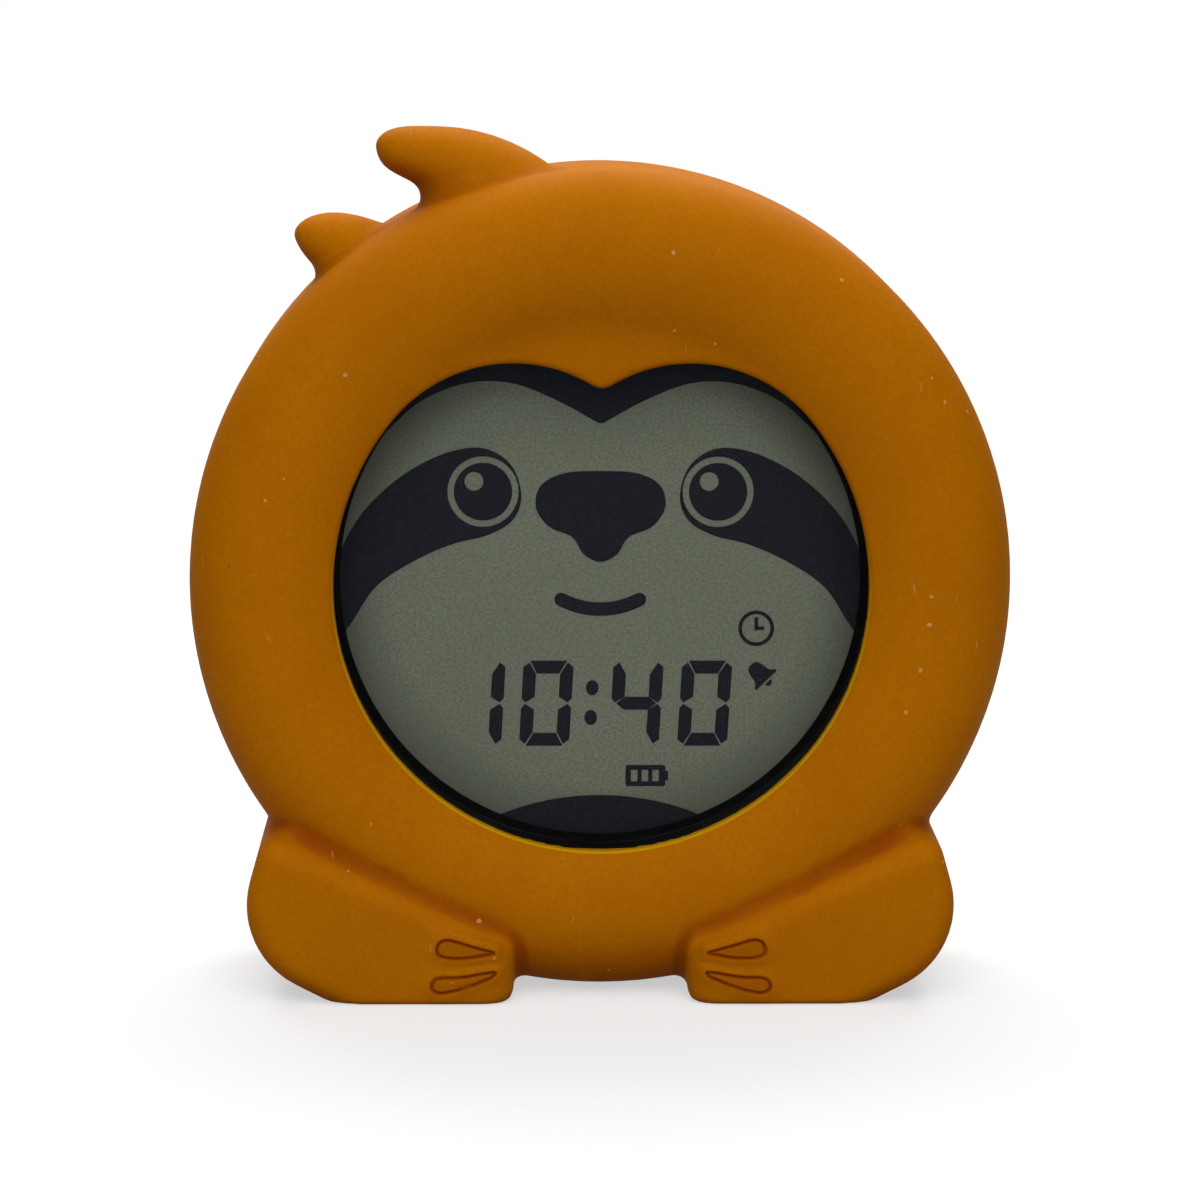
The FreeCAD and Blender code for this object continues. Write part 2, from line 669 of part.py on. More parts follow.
def bay_cuts():
    cavity = box(-BAY_HALF, BAY_HALF, BAY_FLOOR_Y, PANEL_Y + OVERCUT, BAY_BOTTOM, BAY_TOP)
    rebate = plate(door_outline(FIT_GAP), DOOR_INNER - SHEET_GAP, PANEL_Y + OVERCUT)
    cuts = [cavity, rebate]
    slot_half = DOOR_TAB_HALF + FIT_GAP
    slot_y = DOOR_INNER - DOOR_TAB_DROP - OVERCUT
    slot_low = DOOR_BOTTOM - DOOR_TAB_REACH - MERGE
    for x in door_tab_places():
        left = x - slot_half
        cuts.append(box(left, x + slot_half, slot_y, DOOR_INNER, slot_low, BAY_BOTTOM + MERGE))
    bottom = DOOR_SCREW_HEAD - DOOR_SCREW_LENGTH - MERGE
    cuts.append(cone(0, DOOR_SCREW_Z, *DOOR_HOLE_RADII, bottom, DOOR_INNER))
    tab_half = PLATE_THICKNESS + GUIDE_GAP
    tab_y = BAY_FLOOR_Y - BAY_FLOOR - MERGE
    for side in (-1, 1):
        x = side * BAY_HALF
        z = BAY_CENTRE + side * CELL_PITCH
        low = z - PLATE_SLOT_HALF
        cuts.append(box(x - tab_half, x + tab_half, tab_y, BAY_FLOOR_Y + MERGE, low, z + PLATE_SLOT_HALF))
    return cuts


def door_tab_places():
    return (-DOOR_TAB_X, DOOR_TAB_X)


def door_outline(grow):
    half = DOOR_HALF + grow
    corner = DOOR_CORNER + grow
    corners = [(half, DOOR_TOP + grow), (-half, DOOR_TOP + grow)]
    corners += [(-half, DOOR_BOTTOM - grow), (half, DOOR_BOTTOM - grow)]
    return rounded_outline([(x, z, corner) for x, z in corners])


def button_cuts():
    # Hole for each cap, and room behind it for the flange over the whole travel
    hole = BUTTON_RADIUS + GUIDE_GAP
    room = BUTTON_RADIUS + BUTTON_FLANGE + SHEET_GAP
    inner = PANEL_INNER - OVERCUT
    low = FLANGE_BASE - BUTTON_TRAVEL - GUIDE_GAP
    cuts = []
    for _, x, z, half in BUTTONS:
        cuts.append(pill(x, z, half, hole, inner, PANEL_Y + OVERCUT))
        cuts.append(pill(x, z, half, room, low, PANEL_INNER))
    return cuts


def switch_cuts():
    outer = PANEL_Y + OVERCUT
    slot = slider_room(SWITCH_STEM, FIT_GAP, PANEL_INNER - OVERCUT, outer)
    tray = slider_room(SWITCH_CAP, 2 * FIT_GAP, PANEL_Y - SWITCH_SINK, outer)
    return [slot, tray]


def slider_room(size, gap, y0, y1):
    # Room for one part of the slider over its whole throw
    half = size[0] / 2 + SWITCH_THROW / 2 + gap
    tall = size[1] / 2 + gap
    return box(SWITCH_X - half, SWITCH_X + half, y0, y1, SWITCH_Z - tall, SWITCH_Z + tall)


def grille_cuts():
    places = [(0.0, 0.0)]
    for ring in (1, 2):
        for i in range(6 * ring):
            places.append(polar(ring * GRILLE_PITCH, i * 60.0 / ring))
    inner = PANEL_INNER - OVERCUT
    outer = PANEL_Y + OVERCUT
    return [rod(x, SPEAKER_Z + z, GRILLE_HOLE, inner, outer) for x, z in places]


# Display

def display_bezel():
    flange = rod(0, 0, LENS_RADIUS, LENS_FRONT - BEZEL_WALL, LENS_FRONT)
    tube = plate(window_outline(BEZEL_GAP + BEZEL_WALL), FRONT_Y, LENS_FRONT)
    hole = plate(window_outline(BEZEL_GAP), FRONT_Y, LENS_FRONT)
    tube = tube.common(round_body(SHELL_OUT))
    return joined([flange, tube]).cut(hole)


def window_lens():
    return rod(0, 0, LENS_RADIUS, LENS_FRONT, LENS_BACK)


def display_gasket():
    outer = plate(glass_outline(GLASS_HALF), LENS_BACK, GLASS_Y)
    return outer.cut(rod(0, 0, WINDOW_RADIUS + 2 * FIT_GAP, LENS_BACK, GLASS_Y))


def lcd_glass():
    rear_y = GLASS_Y + GLASS_THICKNESS
    front = plate(glass_outline(GLASS_HALF, GLASS_TAIL, GLASS_TAIL_HALF), GLASS_Y, rear_y)
    rear = plate(glass_outline(GLASS_HALF), rear_y, rear_y + GLASS_THICKNESS)
    return joined([front, rear])


def diffuser_sheet():
    return plate(glass_outline(GLASS_HALF), DIFFUSER_Y, DIFFUSER_Y + SHEET_THICKNESS)


def light_guide():
    return plate(glass_outline(GLASS_HALF), GUIDE_Y, GUIDE_Y + GUIDE_THICKNESS)


def lamp_places():
    return [(sx * LAMP_REACH, sz * LAMP_REACH) for sx in (-1, 1) for sz in (-1, 1)]


def reflector_sheet():
    sheet = plate(glass_outline(GLASS_HALF), REFLECTOR_Y, REFLECTOR_Y + SHEET_THICKNESS)
    start = REFLECTOR_Y - OVERCUT
    end = REFLECTOR_Y + OVERCUT
    return sheet.cut([rod(x, z, LAMP_HOLE, start, end) for x, z in lamp_places()])


def display_tray():
    wide = GLASS_TAIL_HALF + GUIDE_GAP
    tail = GLASS_TAIL + GUIDE_GAP
    body = plate(glass_outline(TRAY_OUTER, tail, wide + TRAY_WALL), LENS_BACK, TRAY_BACK_Y)
    hollow = plate(glass_outline(TRAY_INNER, tail - GUIDE_GAP, wide), LENS_BACK, TRAY_FLOOR_Y)
    ears = []
    for angle, (x, z) in zip(TRAY_SCREW_ANGLES, tray_screw_places()):
        near_x, near_z = polar(TRAY_OUTER - 1, angle)
        along = Vector(x - near_x, 0, z - near_z).normalize()
        across = Vector(-along.z, 0, along.x) * TRAY_EAR_HALF
        near = point(near_x, TRAY_FLOOR_Y, near_z)
        far = point(x, TRAY_FLOOR_Y, z)
        corners = [near + across, near - across, far - across, far + across]
        outline = Part.makePolygon(corners + [corners[0]])
        ears.append(Part.Face(outline).extrude(Vector(0, TRAY_WALL, 0)))
        ears.append(rod(x, z, TRAY_EAR_HALF, TRAY_FLOOR_Y, TRAY_BACK_Y))
    pads = [rod(x, z, TRAY_PAD_RADIUS, TRAY_FLOOR_Y, BOARD_Y) for x, z in board_screw_places()]
    tray = joined([body.cut(hollow)] + ears + pads)
    through = TRAY_FLOOR_Y - OVERCUT
    hole = SMALL_SCREW[2] + PASS_GAP
    cuts = [rod(x, z, hole, through, BOARD_Y) for x, z in tray_screw_places()]
    cuts += [rod(x, z, LAMP_HOLE, through, BOARD_Y) for x, z in lamp_places()]
    hole = SMALL_SCREW[2] + THREAD_GAP
    blind = TRAY_FLOOR_Y + FIT_GAP
    cuts += [rod(x, z, hole, blind, BOARD_Y) for x, z in board_screw_places()]
    half = CONNECTOR_HALF + GUIDE_GAP
    thick = CONNECTOR_THICKNESS / 2 + GUIDE_GAP
    cuts.append(box(-half, half, GLASS_Y, BOARD_Y, CONNECTOR_Z - thick, CONNECTOR_Z + thick))
    return tray.cut(cuts)


def strip_connector():
    thick = CONNECTOR_THICKNESS / 2
    start = GLASS_Y + GLASS_THICKNESS
    return box(-CONNECTOR_HALF, CONNECTOR_HALF, start, BOARD_Y, CONNECTOR_Z - thick, CONNECTOR_Z + thick)


# Electronics

def board_screw_places():
    return [(sx * BOARD_SCREW_X, sz * BOARD_SCREW_Z) for sx in (-1, 1) for sz in (-1, 1)]


def main_board():
    corners = [(BOARD_HALF, BOARD_TOP), (-BOARD_HALF, BOARD_TOP)]
    corners += [(-BOARD_HALF, BOARD_BOTTOM), (BOARD_HALF, BOARD_BOTTOM)]
    outline = rounded_outline([(x, z, BOARD_CORNER) for x, z in corners])
    return drilled(plate(outline, BOARD_Y, BOARD_BACK), board_screw_places(), BOARD_Y)


def drilled(board, places, y):
    hole = SMALL_SCREW[2] + PASS_GAP
    end = y + BOARD_THICKNESS + OVERCUT
    return board.cut([rod(x, z, hole, y - OVERCUT, end) for x, z in places])


def night_light_lamps():
    wide, thick, tall = LAMP_SIZE
    lamps = []
    for x, z in lamp_places():
        left = x - wide / 2
        low = z - tall / 2
        lamps.append(box(left, left + wide, BOARD_Y - thick, BOARD_Y, low, low + tall))
    return Part.makeCompound(lamps)


def clock_chip():
    blob = rod(0, CHIP_Z, CHIP_RADIUS, BOARD_BACK, BOARD_BACK + CHIP_HEIGHT)
    return rounded_rim(blob, BOARD_BACK + CHIP_HEIGHT, CHIP_HEIGHT - SHEET_GAP)


def rounded_rim(shape, y, radius):
    # Rounds the closed edges that lie at one level
    rim = [edge for edge in shape.Edges if edge.Closed and edge.BoundBox.YMin > y - 1e-6]
    return shape.makeFillet(radius, rim)


def crystal_can():
    wide, thick, tall = CRYSTAL_SIZE
    right = CRYSTAL_X + wide
    can = box(CRYSTAL_X, right, BOARD_BACK, BOARD_BACK + thick, CRYSTAL_Z, CRYSTAL_Z + tall)
    long_edges = [edge for edge in can.Edges if edge.BoundBox.ZLength > tall / 2]
    return can.makeFillet(0.4 * thick, long_edges)


def capacitor():
    end = BOARD_BACK + CAPACITOR_HEIGHT
    can = rod(CAPACITOR_X, CAPACITOR_Z, CAPACITOR_RADIUS, BOARD_BACK, end)
    return rounded_rim(can, end, 0.4)


def board_header():
    low = HEADER_Z - HEADER_DEPTH / 2
    return box(-HEADER_HALF, HEADER_HALF, BOARD_BACK, KEY_BOARD_Y, low, low + HEADER_DEPTH)


def key_board():
    half = [
        (BOARD_HALF, KEY_BOARD_LOW, KEY_BOARD_CORNER),
        (BOARD_HALF, KEY_BOARD_HIGH, KEY_BOARD_CORNER),
        (KEY_BOARD_TAB_HALF, KEY_BOARD_HIGH, 0.0),
        (KEY_BOARD_TAB_HALF, KEY_BOARD_TAB, KEY_BOARD_CORNER),
    ]
    corners = half + [(-x, z, radius) for x, z, radius in reversed(half)]
    board = plate(rounded_outline(corners), KEY_BOARD_Y, KEY_BOARD_BACK)
    return drilled(board, key_post_places(), KEY_BOARD_Y)


def key_switches():
    half = KEY_SIZE / 2
    bodies = []
    for _, x, z, _ in BUTTONS:
        body = box(x - half, x + half, KEY_BOARD_BACK, KEY_TOP, z - half, z + half)
        well = rod(x, z, PLUNGER_RADIUS + PLUNGER_GAP, key_well_y(), KEY_TOP + OVERCUT)
        bodies.append(body.cut(well))
    return Part.makeCompound(bodies)


def key_well_y():
    return PLUNGER_TOP - KEY_HEIGHT + KEY_FLOOR


def key_plunger(x, z):
    start = key_well_y() + BUTTON_TRAVEL + GUIDE_GAP
    return rod(x, z, PLUNGER_RADIUS, start, PLUNGER_TOP)


def button(x, z, half):
    cap = pill(x, z, half, BUTTON_RADIUS, FLANGE_TOP - SHEET_GAP, PANEL_Y + BUTTON_RISE)
    top = [edge for edge in cap.Edges if edge.BoundBox.YMin > PANEL_Y + BUTTON_RISE - 1e-6]
    cap = cap.makeFillet(BUTTON_EDGE, top)
    flange = pill(x, z, half, BUTTON_RADIUS + BUTTON_FLANGE, FLANGE_BASE, FLANGE_TOP)
    stem = rod(x, z, PLUNGER_RADIUS, PLUNGER_TOP, FLANGE_BASE)
    return joined([cap, flange, stem])


def switch_body():
    length, height, depth = SWITCH_BODY
    left = SWITCH_X - length / 2
    low = SWITCH_Z - height / 2
    end = KEY_BOARD_BACK + depth
    body = box(left, left + length, KEY_BOARD_BACK, end, low, low + height)
    well = KEY_BOARD_BACK + SWITCH_FLOOR
    return body.cut(slider_room(SWITCH_STEM, FIT_GAP, well, end + OVERCUT))


def alarm_switch():
    x = SWITCH_X - SWITCH_THROW / 2
    stem_x, stem_z = (size / 2 for size in SWITCH_STEM)
    cap_x, cap_z = (size / 2 for size in SWITCH_CAP)
    cap_y = PANEL_Y - SWITCH_SINK + GUIDE_GAP
    top = PANEL_Y + SWITCH_RISE
    foot = KEY_BOARD_BACK + SWITCH_FLOOR + FIT_GAP
    stem = box(x - stem_x, x + stem_x, foot, cap_y, SWITCH_Z - stem_z, SWITCH_Z + stem_z)
    cap = box(x - cap_x, x + cap_x, cap_y, top, SWITCH_Z - cap_z, SWITCH_Z + cap_z)
    corners = [edge for edge in cap.Edges if edge.BoundBox.YLength > SWITCH_RISE]
    cap = cap.makeFillet(SWITCH_GROOVE, corners)
    grooves = []
    for step in (-1, 0, 1):
        left = x + step * SWITCH_GROOVE_PITCH - SWITCH_GROOVE / 2
        floor = top - SWITCH_GROOVE
        low = SWITCH_Z - 2 * cap_z
        grooves.append(box(left, left + SWITCH_GROOVE, floor, top + OVERCUT, low, low + 4 * cap_z))
    return joined([stem, cap]).cut(grooves)


# Speaker

def speaker_frame():
    start = PANEL_INNER - SPEAKER_DEPTH
    cup = rod(0, SPEAKER_Z, SPEAKER_RADIUS, start, PANEL_INNER)
    return cup.cut(rod(0, SPEAKER_Z, SPEAKER_RADIUS - SPEAKER_RIM, start + SPEAKER_FLOOR, PANEL_INNER))


def speaker_cone():
    # Thin paper cone with a dome in the middle, glued to the floor and wall of the frame
    rim = SPEAKER_RADIUS - SPEAKER_RIM
    start = PANEL_INNER - SPEAKER_DEPTH + SPEAKER_FLOOR
    points = [
        (0.0, start + 1.3), (2.4, start + 0.9), (rim, start + 1.9), (rim, start + 1.5),
        (2.6, start + 0.4), (2.6, start), (2.2, start), (2.2, start + 0.5), (0.0, start + 0.9),
    ]
    corners = [point(radius, y, SPEAKER_Z) for radius, y in points]
    face = Part.Face(Part.makePolygon(corners + [corners[0]]))
    return face.revolve(point(0, 0, SPEAKER_Z), Vector(0, 1, 0), 360)


def speaker_magnet():
    start = PANEL_INNER - SPEAKER_DEPTH
    return rod(0, SPEAKER_Z, MAGNET_RADIUS, start - MAGNET_DEPTH, start)


def speaker_contacts():
    x, z = polar((SPEAKER_RADIUS + MAGNET_RADIUS) / 2, SPEAKER_PIN_ANGLE)
    end = PANEL_INNER - SPEAKER_DEPTH
    pins = [rod(s * x, SPEAKER_Z + z, SPEAKER_PIN_RADIUS, KEY_BOARD_BACK, end) for s in (-1, 1)]
    return Part.makeCompound(pins)


# Batteries and their door

def cell_places():
    # Offset, height and the side that the positive end points to
    shift = (SPRING_ROOM - PLATE_ROOM) / 2
    sides = (1, -1, 1)
    return [(side * shift, BAY_CENTRE + row * CELL_PITCH, side) for row, side in zip(CELL_ROWS, sides)]


def cell(index):
    x, z, side = cell_places()[index]
    body_length = CELL_LENGTH - CELL_NUB_LENGTH
    start = point(x - side * CELL_LENGTH / 2, CELL_Y, z)
    axis = Vector(side, 0, 0)
    body = Part.makeCylinder(CELL_RADIUS, body_length, start, axis)
    rims = [edge for edge in body.Edges if edge.Closed and edge.BoundBox.XLength < 1e-6]
    body = body.makeFillet(CELL_EDGE, rims)
    root = start + axis * (body_length - MERGE)
    nub = Part.makeCylinder(CELL_NUB_RADIUS, CELL_NUB_LENGTH + MERGE, root, axis)
    return joined([body, nub])


def contact_plates():
    # Two bridge plates, and two single plates whose tabs reach the board through the bay's floor
    half = CELL_RADIUS - PLATE_MARGIN
    rows = {1: ((1,), (0, -1)), -1: ((1, 0), (-1,))}
    positive = {(row, side) for (_, _, side), row in zip(cell_places(), CELL_ROWS)}
    plates = []
    for side, groups in rows.items():
        for group in groups:
            low = BAY_CENTRE + min(group) * CELL_PITCH - half
            high = BAY_CENTRE + max(group) * CELL_PITCH + half
            outer = side * BAY_HALF
            inner = side * (BAY_HALF - PLATE_THICKNESS)
            x0, x1 = min(outer, inner), max(outer, inner)
            pieces = [box(x0, x1, BAY_FLOOR_Y + GUIDE_GAP, CELL_Y + half, low, high)]
            for row in group:
                if (row, side) in positive:
                    length = PLATE_ROOM - PLATE_THICKNESS
                    start = point(inner, CELL_Y, BAY_CENTRE + row * CELL_PITCH)
                    pieces.append(Part.makeCylinder(CELL_NUB_RADIUS, length, start, Vector(-side, 0, 0)))
            if len(group) == 1:
                low = BAY_CENTRE + group[0] * CELL_PITCH - PLATE_TAB_HALF
                high = low + 2 * PLATE_TAB_HALF
                pieces.append(box(x0, x1, BOARD_BACK, BAY_FLOOR_Y + OVERCUT, low, high))
            plates.append(joined(pieces))
    return Part.makeCompound(plates)


def biarc(start, start_way, end, end_way):
    # Two tangent arcs from one point and direction to another
    gap = end - start
    ways = start_way + end_way
    a = 2 * (1 - start_way.dot(end_way))
    b = 2 * gap.dot(ways)
    c = -gap.dot(gap)
    reach = (-b + math.sqrt(b * b - 4 * a * c)) / (2 * a)
    first_corner = start + start_way * reach
    last_corner = end - end_way * reach
    middle = (first_corner + last_corner) * 0.5
    arcs = []
    for head, corner, tail in ((start, first_corner, middle), (middle, last_corner, end)):
        chord = (head + tail) * 0.5
        rise = (corner - chord).Length
        half_chord = (tail - head).Length / 2
        radius = half_chord * (corner - head).Length / rise
        bulge = radius - math.sqrt(radius * radius - half_chord * half_chord)
        arcs.append(Part.Arc(head, chord + (corner - chord) * (bulge / rise), tail).toShape())
    return arcs


def spring(row, side):
    # Tapered wire spring between the plate and the flat end of its cell
    start_x = BAY_HALF - PLATE_THICKNESS - SPRING_WIRE
    end_x = BAY_HALF - SPRING_ROOM + SPRING_WIRE
    quarters = 4 * SPRING_TURNS
    centre_z = BAY_CENTRE + row * CELL_PITCH

    def place(step):
        share = step / quarters
        turn = step * math.pi / 2
        radius = SPRING_RADII[0] + (SPRING_RADII[1] - SPRING_RADII[0]) * share
        x = side * (start_x + (end_x - start_x) * share)
        return point(x, CELL_Y + radius * math.cos(turn), centre_z + radius * math.sin(turn))

    def way(step):
        return (place(step + 0.001) - place(step - 0.001)).normalize()

    edges = []
    for step in range(quarters):
        edges += biarc(place(step), way(step), place(step + 1), way(step + 1))
    wire = Part.Wire(edges)
    section = Part.Wire([Part.Circle(place(0), way(0), SPRING_WIRE).toShape()])
    return wire.makePipeShell([section], True, False)


def contact_springs():
    springs = [spring(row, -side) for (_, _, side), row in zip(cell_places(), CELL_ROWS)]
    pitch = (SPRING_ROOM - PLATE_THICKNESS - 2 * SPRING_WIRE) / SPRING_TURNS
    print("spring: least gap between turns %.2f mm" % (pitch - 2 * SPRING_WIRE))
    return Part.makeCompound(springs)


def battery_door():
    panel = plate(door_outline(0), DOOR_INNER, PANEL_Y)
    rim = [edge for edge in panel.Edges if edge.BoundBox.YMin > PANEL_Y - 1e-6]
    panel = panel.makeFillet(DOOR_EDGE, rim)
    tabs = []
    low = DOOR_INNER - DOOR_TAB_DROP
    root = DOOR_BOTTOM + DOOR_TAB_ROOT
    foot = DOOR_BOTTOM - DOOR_TAB_REACH
    for x in door_tab_places():
        left = x - DOOR_TAB_HALF
        right = x + DOOR_TAB_HALF
        tabs.append(box(left, right, low, DOOR_INNER + MERGE, DOOR_BOTTOM, root))
        tabs.append(box(left, right, low, low + DOOR_TAB_THICKNESS, foot, root))
    door = joined([panel] + tabs)
    head, _, shank = HOUSING_SCREW
    outer = PANEL_Y + OVERCUT
    sink = rod(0, DOOR_SCREW_Z, head + DOOR_SCREW_HEAD_GAP, DOOR_SCREW_HEAD, outer)
    hole = rod(0, DOOR_SCREW_Z, shank + SHEET_GAP, DOOR_INNER - OVERCUT, PANEL_Y)
    cuts = [sink, hole]
    for drop in GRIP_DROPS:
        middle = BAY_TOP - drop
        half = GRIP_WIDTH / 2
        cuts.append(box(-GRIP_HALF, GRIP_HALF, PANEL_Y - GRIP_DEPTH, outer, middle - half, middle + half))
    return door.cut(cuts)


def screw(x, z, head_y, size, length):
    # Pan head towards +Y, with a cross slot
    head, height, shank = size
    top = head_y + height
    cap = rounded_rim(rod(x, z, head, head_y, top), top, height * 0.4)
    pin = rod(x, z, shank, head_y - length, head_y + GUIDE_GAP)
    floor = head_y + height / 2
    outer = top + OVERCUT
    arm = head * SLOT_REACH
    flat = box(x - arm, x + arm, floor, outer, z - SLOT_HALF, z + SLOT_HALF)
    upright = box(x - SLOT_HALF, x + SLOT_HALF, floor, outer, z - arm, z + arm)
    return joined([cap, pin]).cut([flat, upright])


def door_screw():
    head, _, shank = HOUSING_SCREW
    size = (head, DOOR_SCREW_HEAD_HEIGHT, shank - SHEET_GAP)
    return screw(0, DOOR_SCREW_Z, DOOR_SCREW_HEAD, size, DOOR_SCREW_LENGTH)


def housing_screws():
    seat = PARTING_Y + HOUSING_SCREW_SEAT
    places = housing_screw_places()
    return Part.makeCompound([screw(x, z, seat, HOUSING_SCREW, HOUSING_SCREW_LENGTH) for x, z in places])


def tray_screws():
    places = tray_screw_places()
    return Part.makeCompound([screw(x, z, TRAY_BACK_Y, SMALL_SCREW, TRAY_SCREW_LENGTH) for x, z in places])


def board_screws():
    length = BOARD_BACK - TRAY_FLOOR_Y - FIT_GAP - SHEET_GAP
    places = board_screw_places()
    return Part.makeCompound([screw(x, z, BOARD_BACK, SMALL_SCREW, length) for x, z in places])


def key_board_screws():
    screws = []
    for x, z in key_post_places():
        piece = screw(x, z, 0.0, SMALL_SCREW, KEY_SCREW_LENGTH)
        piece.rotate(point(x, 0, z), Vector(0, 0, 1), 180)
        piece.translate(Vector(0, KEY_BOARD_Y, 0))
        screws.append(piece)
    return Part.makeCompound(screws)


def all_pieces():
    pieces = {
        "silicone_cover": silicone_cover(),
        "front_housing": front_housing(),
        "rear_housing": rear_housing(),
        "display_bezel": display_bezel(),
        "window_lens": window_lens(),
        "display_gasket": display_gasket(),
        "lcd_glass": lcd_glass(),
        "diffuser_sheet": diffuser_sheet(),
        "light_guide": light_guide(),
        "reflector_sheet": reflector_sheet(),
        "display_tray": display_tray(),
        "strip_connector": strip_connector(),
        "main_board": main_board(),
        "night_light_lamps": night_light_lamps(),
        "clock_chip": clock_chip(),
        "crystal_can": crystal_can(),
        "capacitor": capacitor(),
        "board_header": board_header(),
        "key_board": key_board(),
        "key_switches": key_switches(),
        "switch_body": switch_body(),
        "alarm_switch": alarm_switch(),
        "speaker_frame": speaker_frame(),
        "speaker_cone": speaker_cone(),
        "speaker_magnet": speaker_magnet(),
        "speaker_contacts": speaker_contacts(),
        "contact_plates": contact_plates(),
        "contact_springs": contact_springs(),
        "battery_door": battery_door(),
        "door_screw": door_screw(),
        "housing_screws": housing_screws(),
        "tray_screws": tray_screws(),
        "board_screws": board_screws(),
        "key_board_screws": key_board_screws(),
    }
    for name, x, z, half in BUTTONS:
        pieces[name] = button(x, z, half)
        pieces[name.replace("button", "plunger")] = key_plunger(x, z)
    for index, place in enumerate(("upper", "middle", "lower")):
        pieces[place + "_cell"] = cell(index)
    return pieces


def main():
    os.makedirs("parts", exist_ok=True)
    pieces = all_pieces()
    for name, shape in pieces.items():
        shape.exportStep("parts/%s.step" % name)
        state = "ok" if shape.isValid() else "INVALID"
        print("%-20s %s solids %d volume %.1f" % (name, state, len(shape.Solids), shape.Volume))
    whole = Part.makeCompound(list(pieces.values())).BoundBox
    print("size %.2f x %.2f x %.2f mm" % (whole.XLength, whole.YLength, whole.ZLength))
    print("lowest %.3f, front %.3f, back %.3f" % (whole.ZMin, whole.YMin, whole.YMax))


main()
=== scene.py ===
import math

import bmesh
import bpy
import numpy as np
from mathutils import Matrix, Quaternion, Vector


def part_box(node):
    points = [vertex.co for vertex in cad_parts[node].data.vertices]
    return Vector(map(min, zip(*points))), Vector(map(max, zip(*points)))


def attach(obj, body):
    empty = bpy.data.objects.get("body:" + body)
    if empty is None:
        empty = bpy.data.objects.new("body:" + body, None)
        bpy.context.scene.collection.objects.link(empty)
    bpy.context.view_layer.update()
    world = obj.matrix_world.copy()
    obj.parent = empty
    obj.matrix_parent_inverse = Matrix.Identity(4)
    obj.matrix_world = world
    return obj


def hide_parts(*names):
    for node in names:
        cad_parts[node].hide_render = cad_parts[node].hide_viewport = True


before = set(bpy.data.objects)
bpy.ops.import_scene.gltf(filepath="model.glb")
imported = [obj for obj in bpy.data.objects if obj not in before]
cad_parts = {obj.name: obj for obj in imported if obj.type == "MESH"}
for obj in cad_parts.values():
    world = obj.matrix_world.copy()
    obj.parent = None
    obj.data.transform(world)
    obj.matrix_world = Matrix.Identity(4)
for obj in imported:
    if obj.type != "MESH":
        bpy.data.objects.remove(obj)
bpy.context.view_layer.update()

bl_info = {
    "name": "Kids alarm clock with night light",
    "version": (1, 0, 0),
    "blender": (4, 5, 0),
    "location": "3D View > Sidebar > Alarm clock",
    "description": "Finishes, display print and key marks of a soft covered alarm clock",
    "category": "Object",
}

MM = 0.001

# Places on the clock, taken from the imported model
LENS_LOW, LENS_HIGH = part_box("window_lens")
CENTRE_Z = (LENS_LOW.z + LENS_HIGH.z) / 2
PRINT_PLACE = (0.0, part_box("lcd_glass")[0].y, CENTRE_Z)
PAW_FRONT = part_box("silicone_cover")[0].y / MM

# Outlines of the claws on one paw, in millimetres from the middle and above the ground
CLAWS = (
    ((23.42, 8.08), (23.06, 9.1), (22.1, 9.57), (20.75, 9.32), (18.62, 8.66), (16.67, 8.11),
     (15.35, 7.68), (16.67, 7.35), (18.63, 6.99), (20.76, 6.88), (22.36, 7.06), (23.21, 7.46)),
    ((24.18, 2.79), (23.75, 3.71), (22.72, 4.03), (20.76, 4.07), (18.63, 4.32), (16.67, 4.69),
     (15.18, 4.8), (15.6, 4.14), (17.21, 3.41), (18.99, 2.72), (20.77, 2.17), (22.72, 1.81),
     (23.79, 2.06)),
)

# The window and the display's prints, in millimetres from the middle
WINDOW_RADIUS = 38.1
BORDER_OUTER = 39.3
BORDER_INNER = 37.5
PRINT_REACH = 39.0

# The front of a paw in millimetres: where its flat part ends, the radius of its edge, how far back
# the front is worked on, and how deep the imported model's claws are recessed
PAW_FLAT_X = 15.9
PAW_FLAT_Z = 1.1
PAW_EDGE = 3.5
FRONT_DEPTH = 2.5
CLAW_RECESS = 0.8

# A claw in millimetres: how wide its groove line is and how wide the painted shade along it is, how deep and
# how steep its floor is, and how far round it the finger swells
LINE_WIDTH = 0.2
LINE_SHADE = 0.3
CLAW_FLOOR = 0.22
CLAW_SLOPE = 0.3
SWELL_WIDTH = 1.3

# How the cover's mesh is thinned, and divided again near the claws: longest edge, reach
KEPT_SHARE = 0.3
REFINEMENT = ((4.0, 7.6), (2.0, 4.6), (1.0, 3.0), (0.5, 2.2), (0.25, 0.8), (0.17, 0.6))

# The turns of smoothing that find the cover's valleys for the painted shade, how far each one goes, and the
# ring that is
# left out of that shade, in millimetres: within this radius and above this height
SOFT_TURNS = 60
SOFT_SHARE = 0.6
RING_RADIUS = 54.0
RING_FOOT = 45.0

# The stage in metres. Each light has its place and its size
FLOOR_RINGS = (0.1, 0.2, 0.4, 0.8, 1.6, 3.2, 6.4, 12.8)
FLOOR_PARTS = 48
FLOOR_DROP = 0.00005
LIGHT_AIM = (0.0, 0.0, 0.05)
LIGHTS = {
    "above": ((0.0, -0.12, 0.75), (0.9, 0.7)),
    "high": ((0.0, -0.6, 0.7), (0.9, 0.5)),
    "front": ((0.0, -1.0, 0.45), (1.2, 0.8)),
    "back": ((0.0, 0.45, 0.7), (0.9, 0.5)),
}

KEYS = {name + "_key": name + "_button" for name in ("time", "alarm", "mode", "minus", "light", "plus")}


# Settings that a user would change

def colour_setting(name, description, default):
    return bpy.props.FloatVectorProperty(
        name=name, description=description, subtype="COLOR", size=3, min=0.0, max=1.0, default=default)


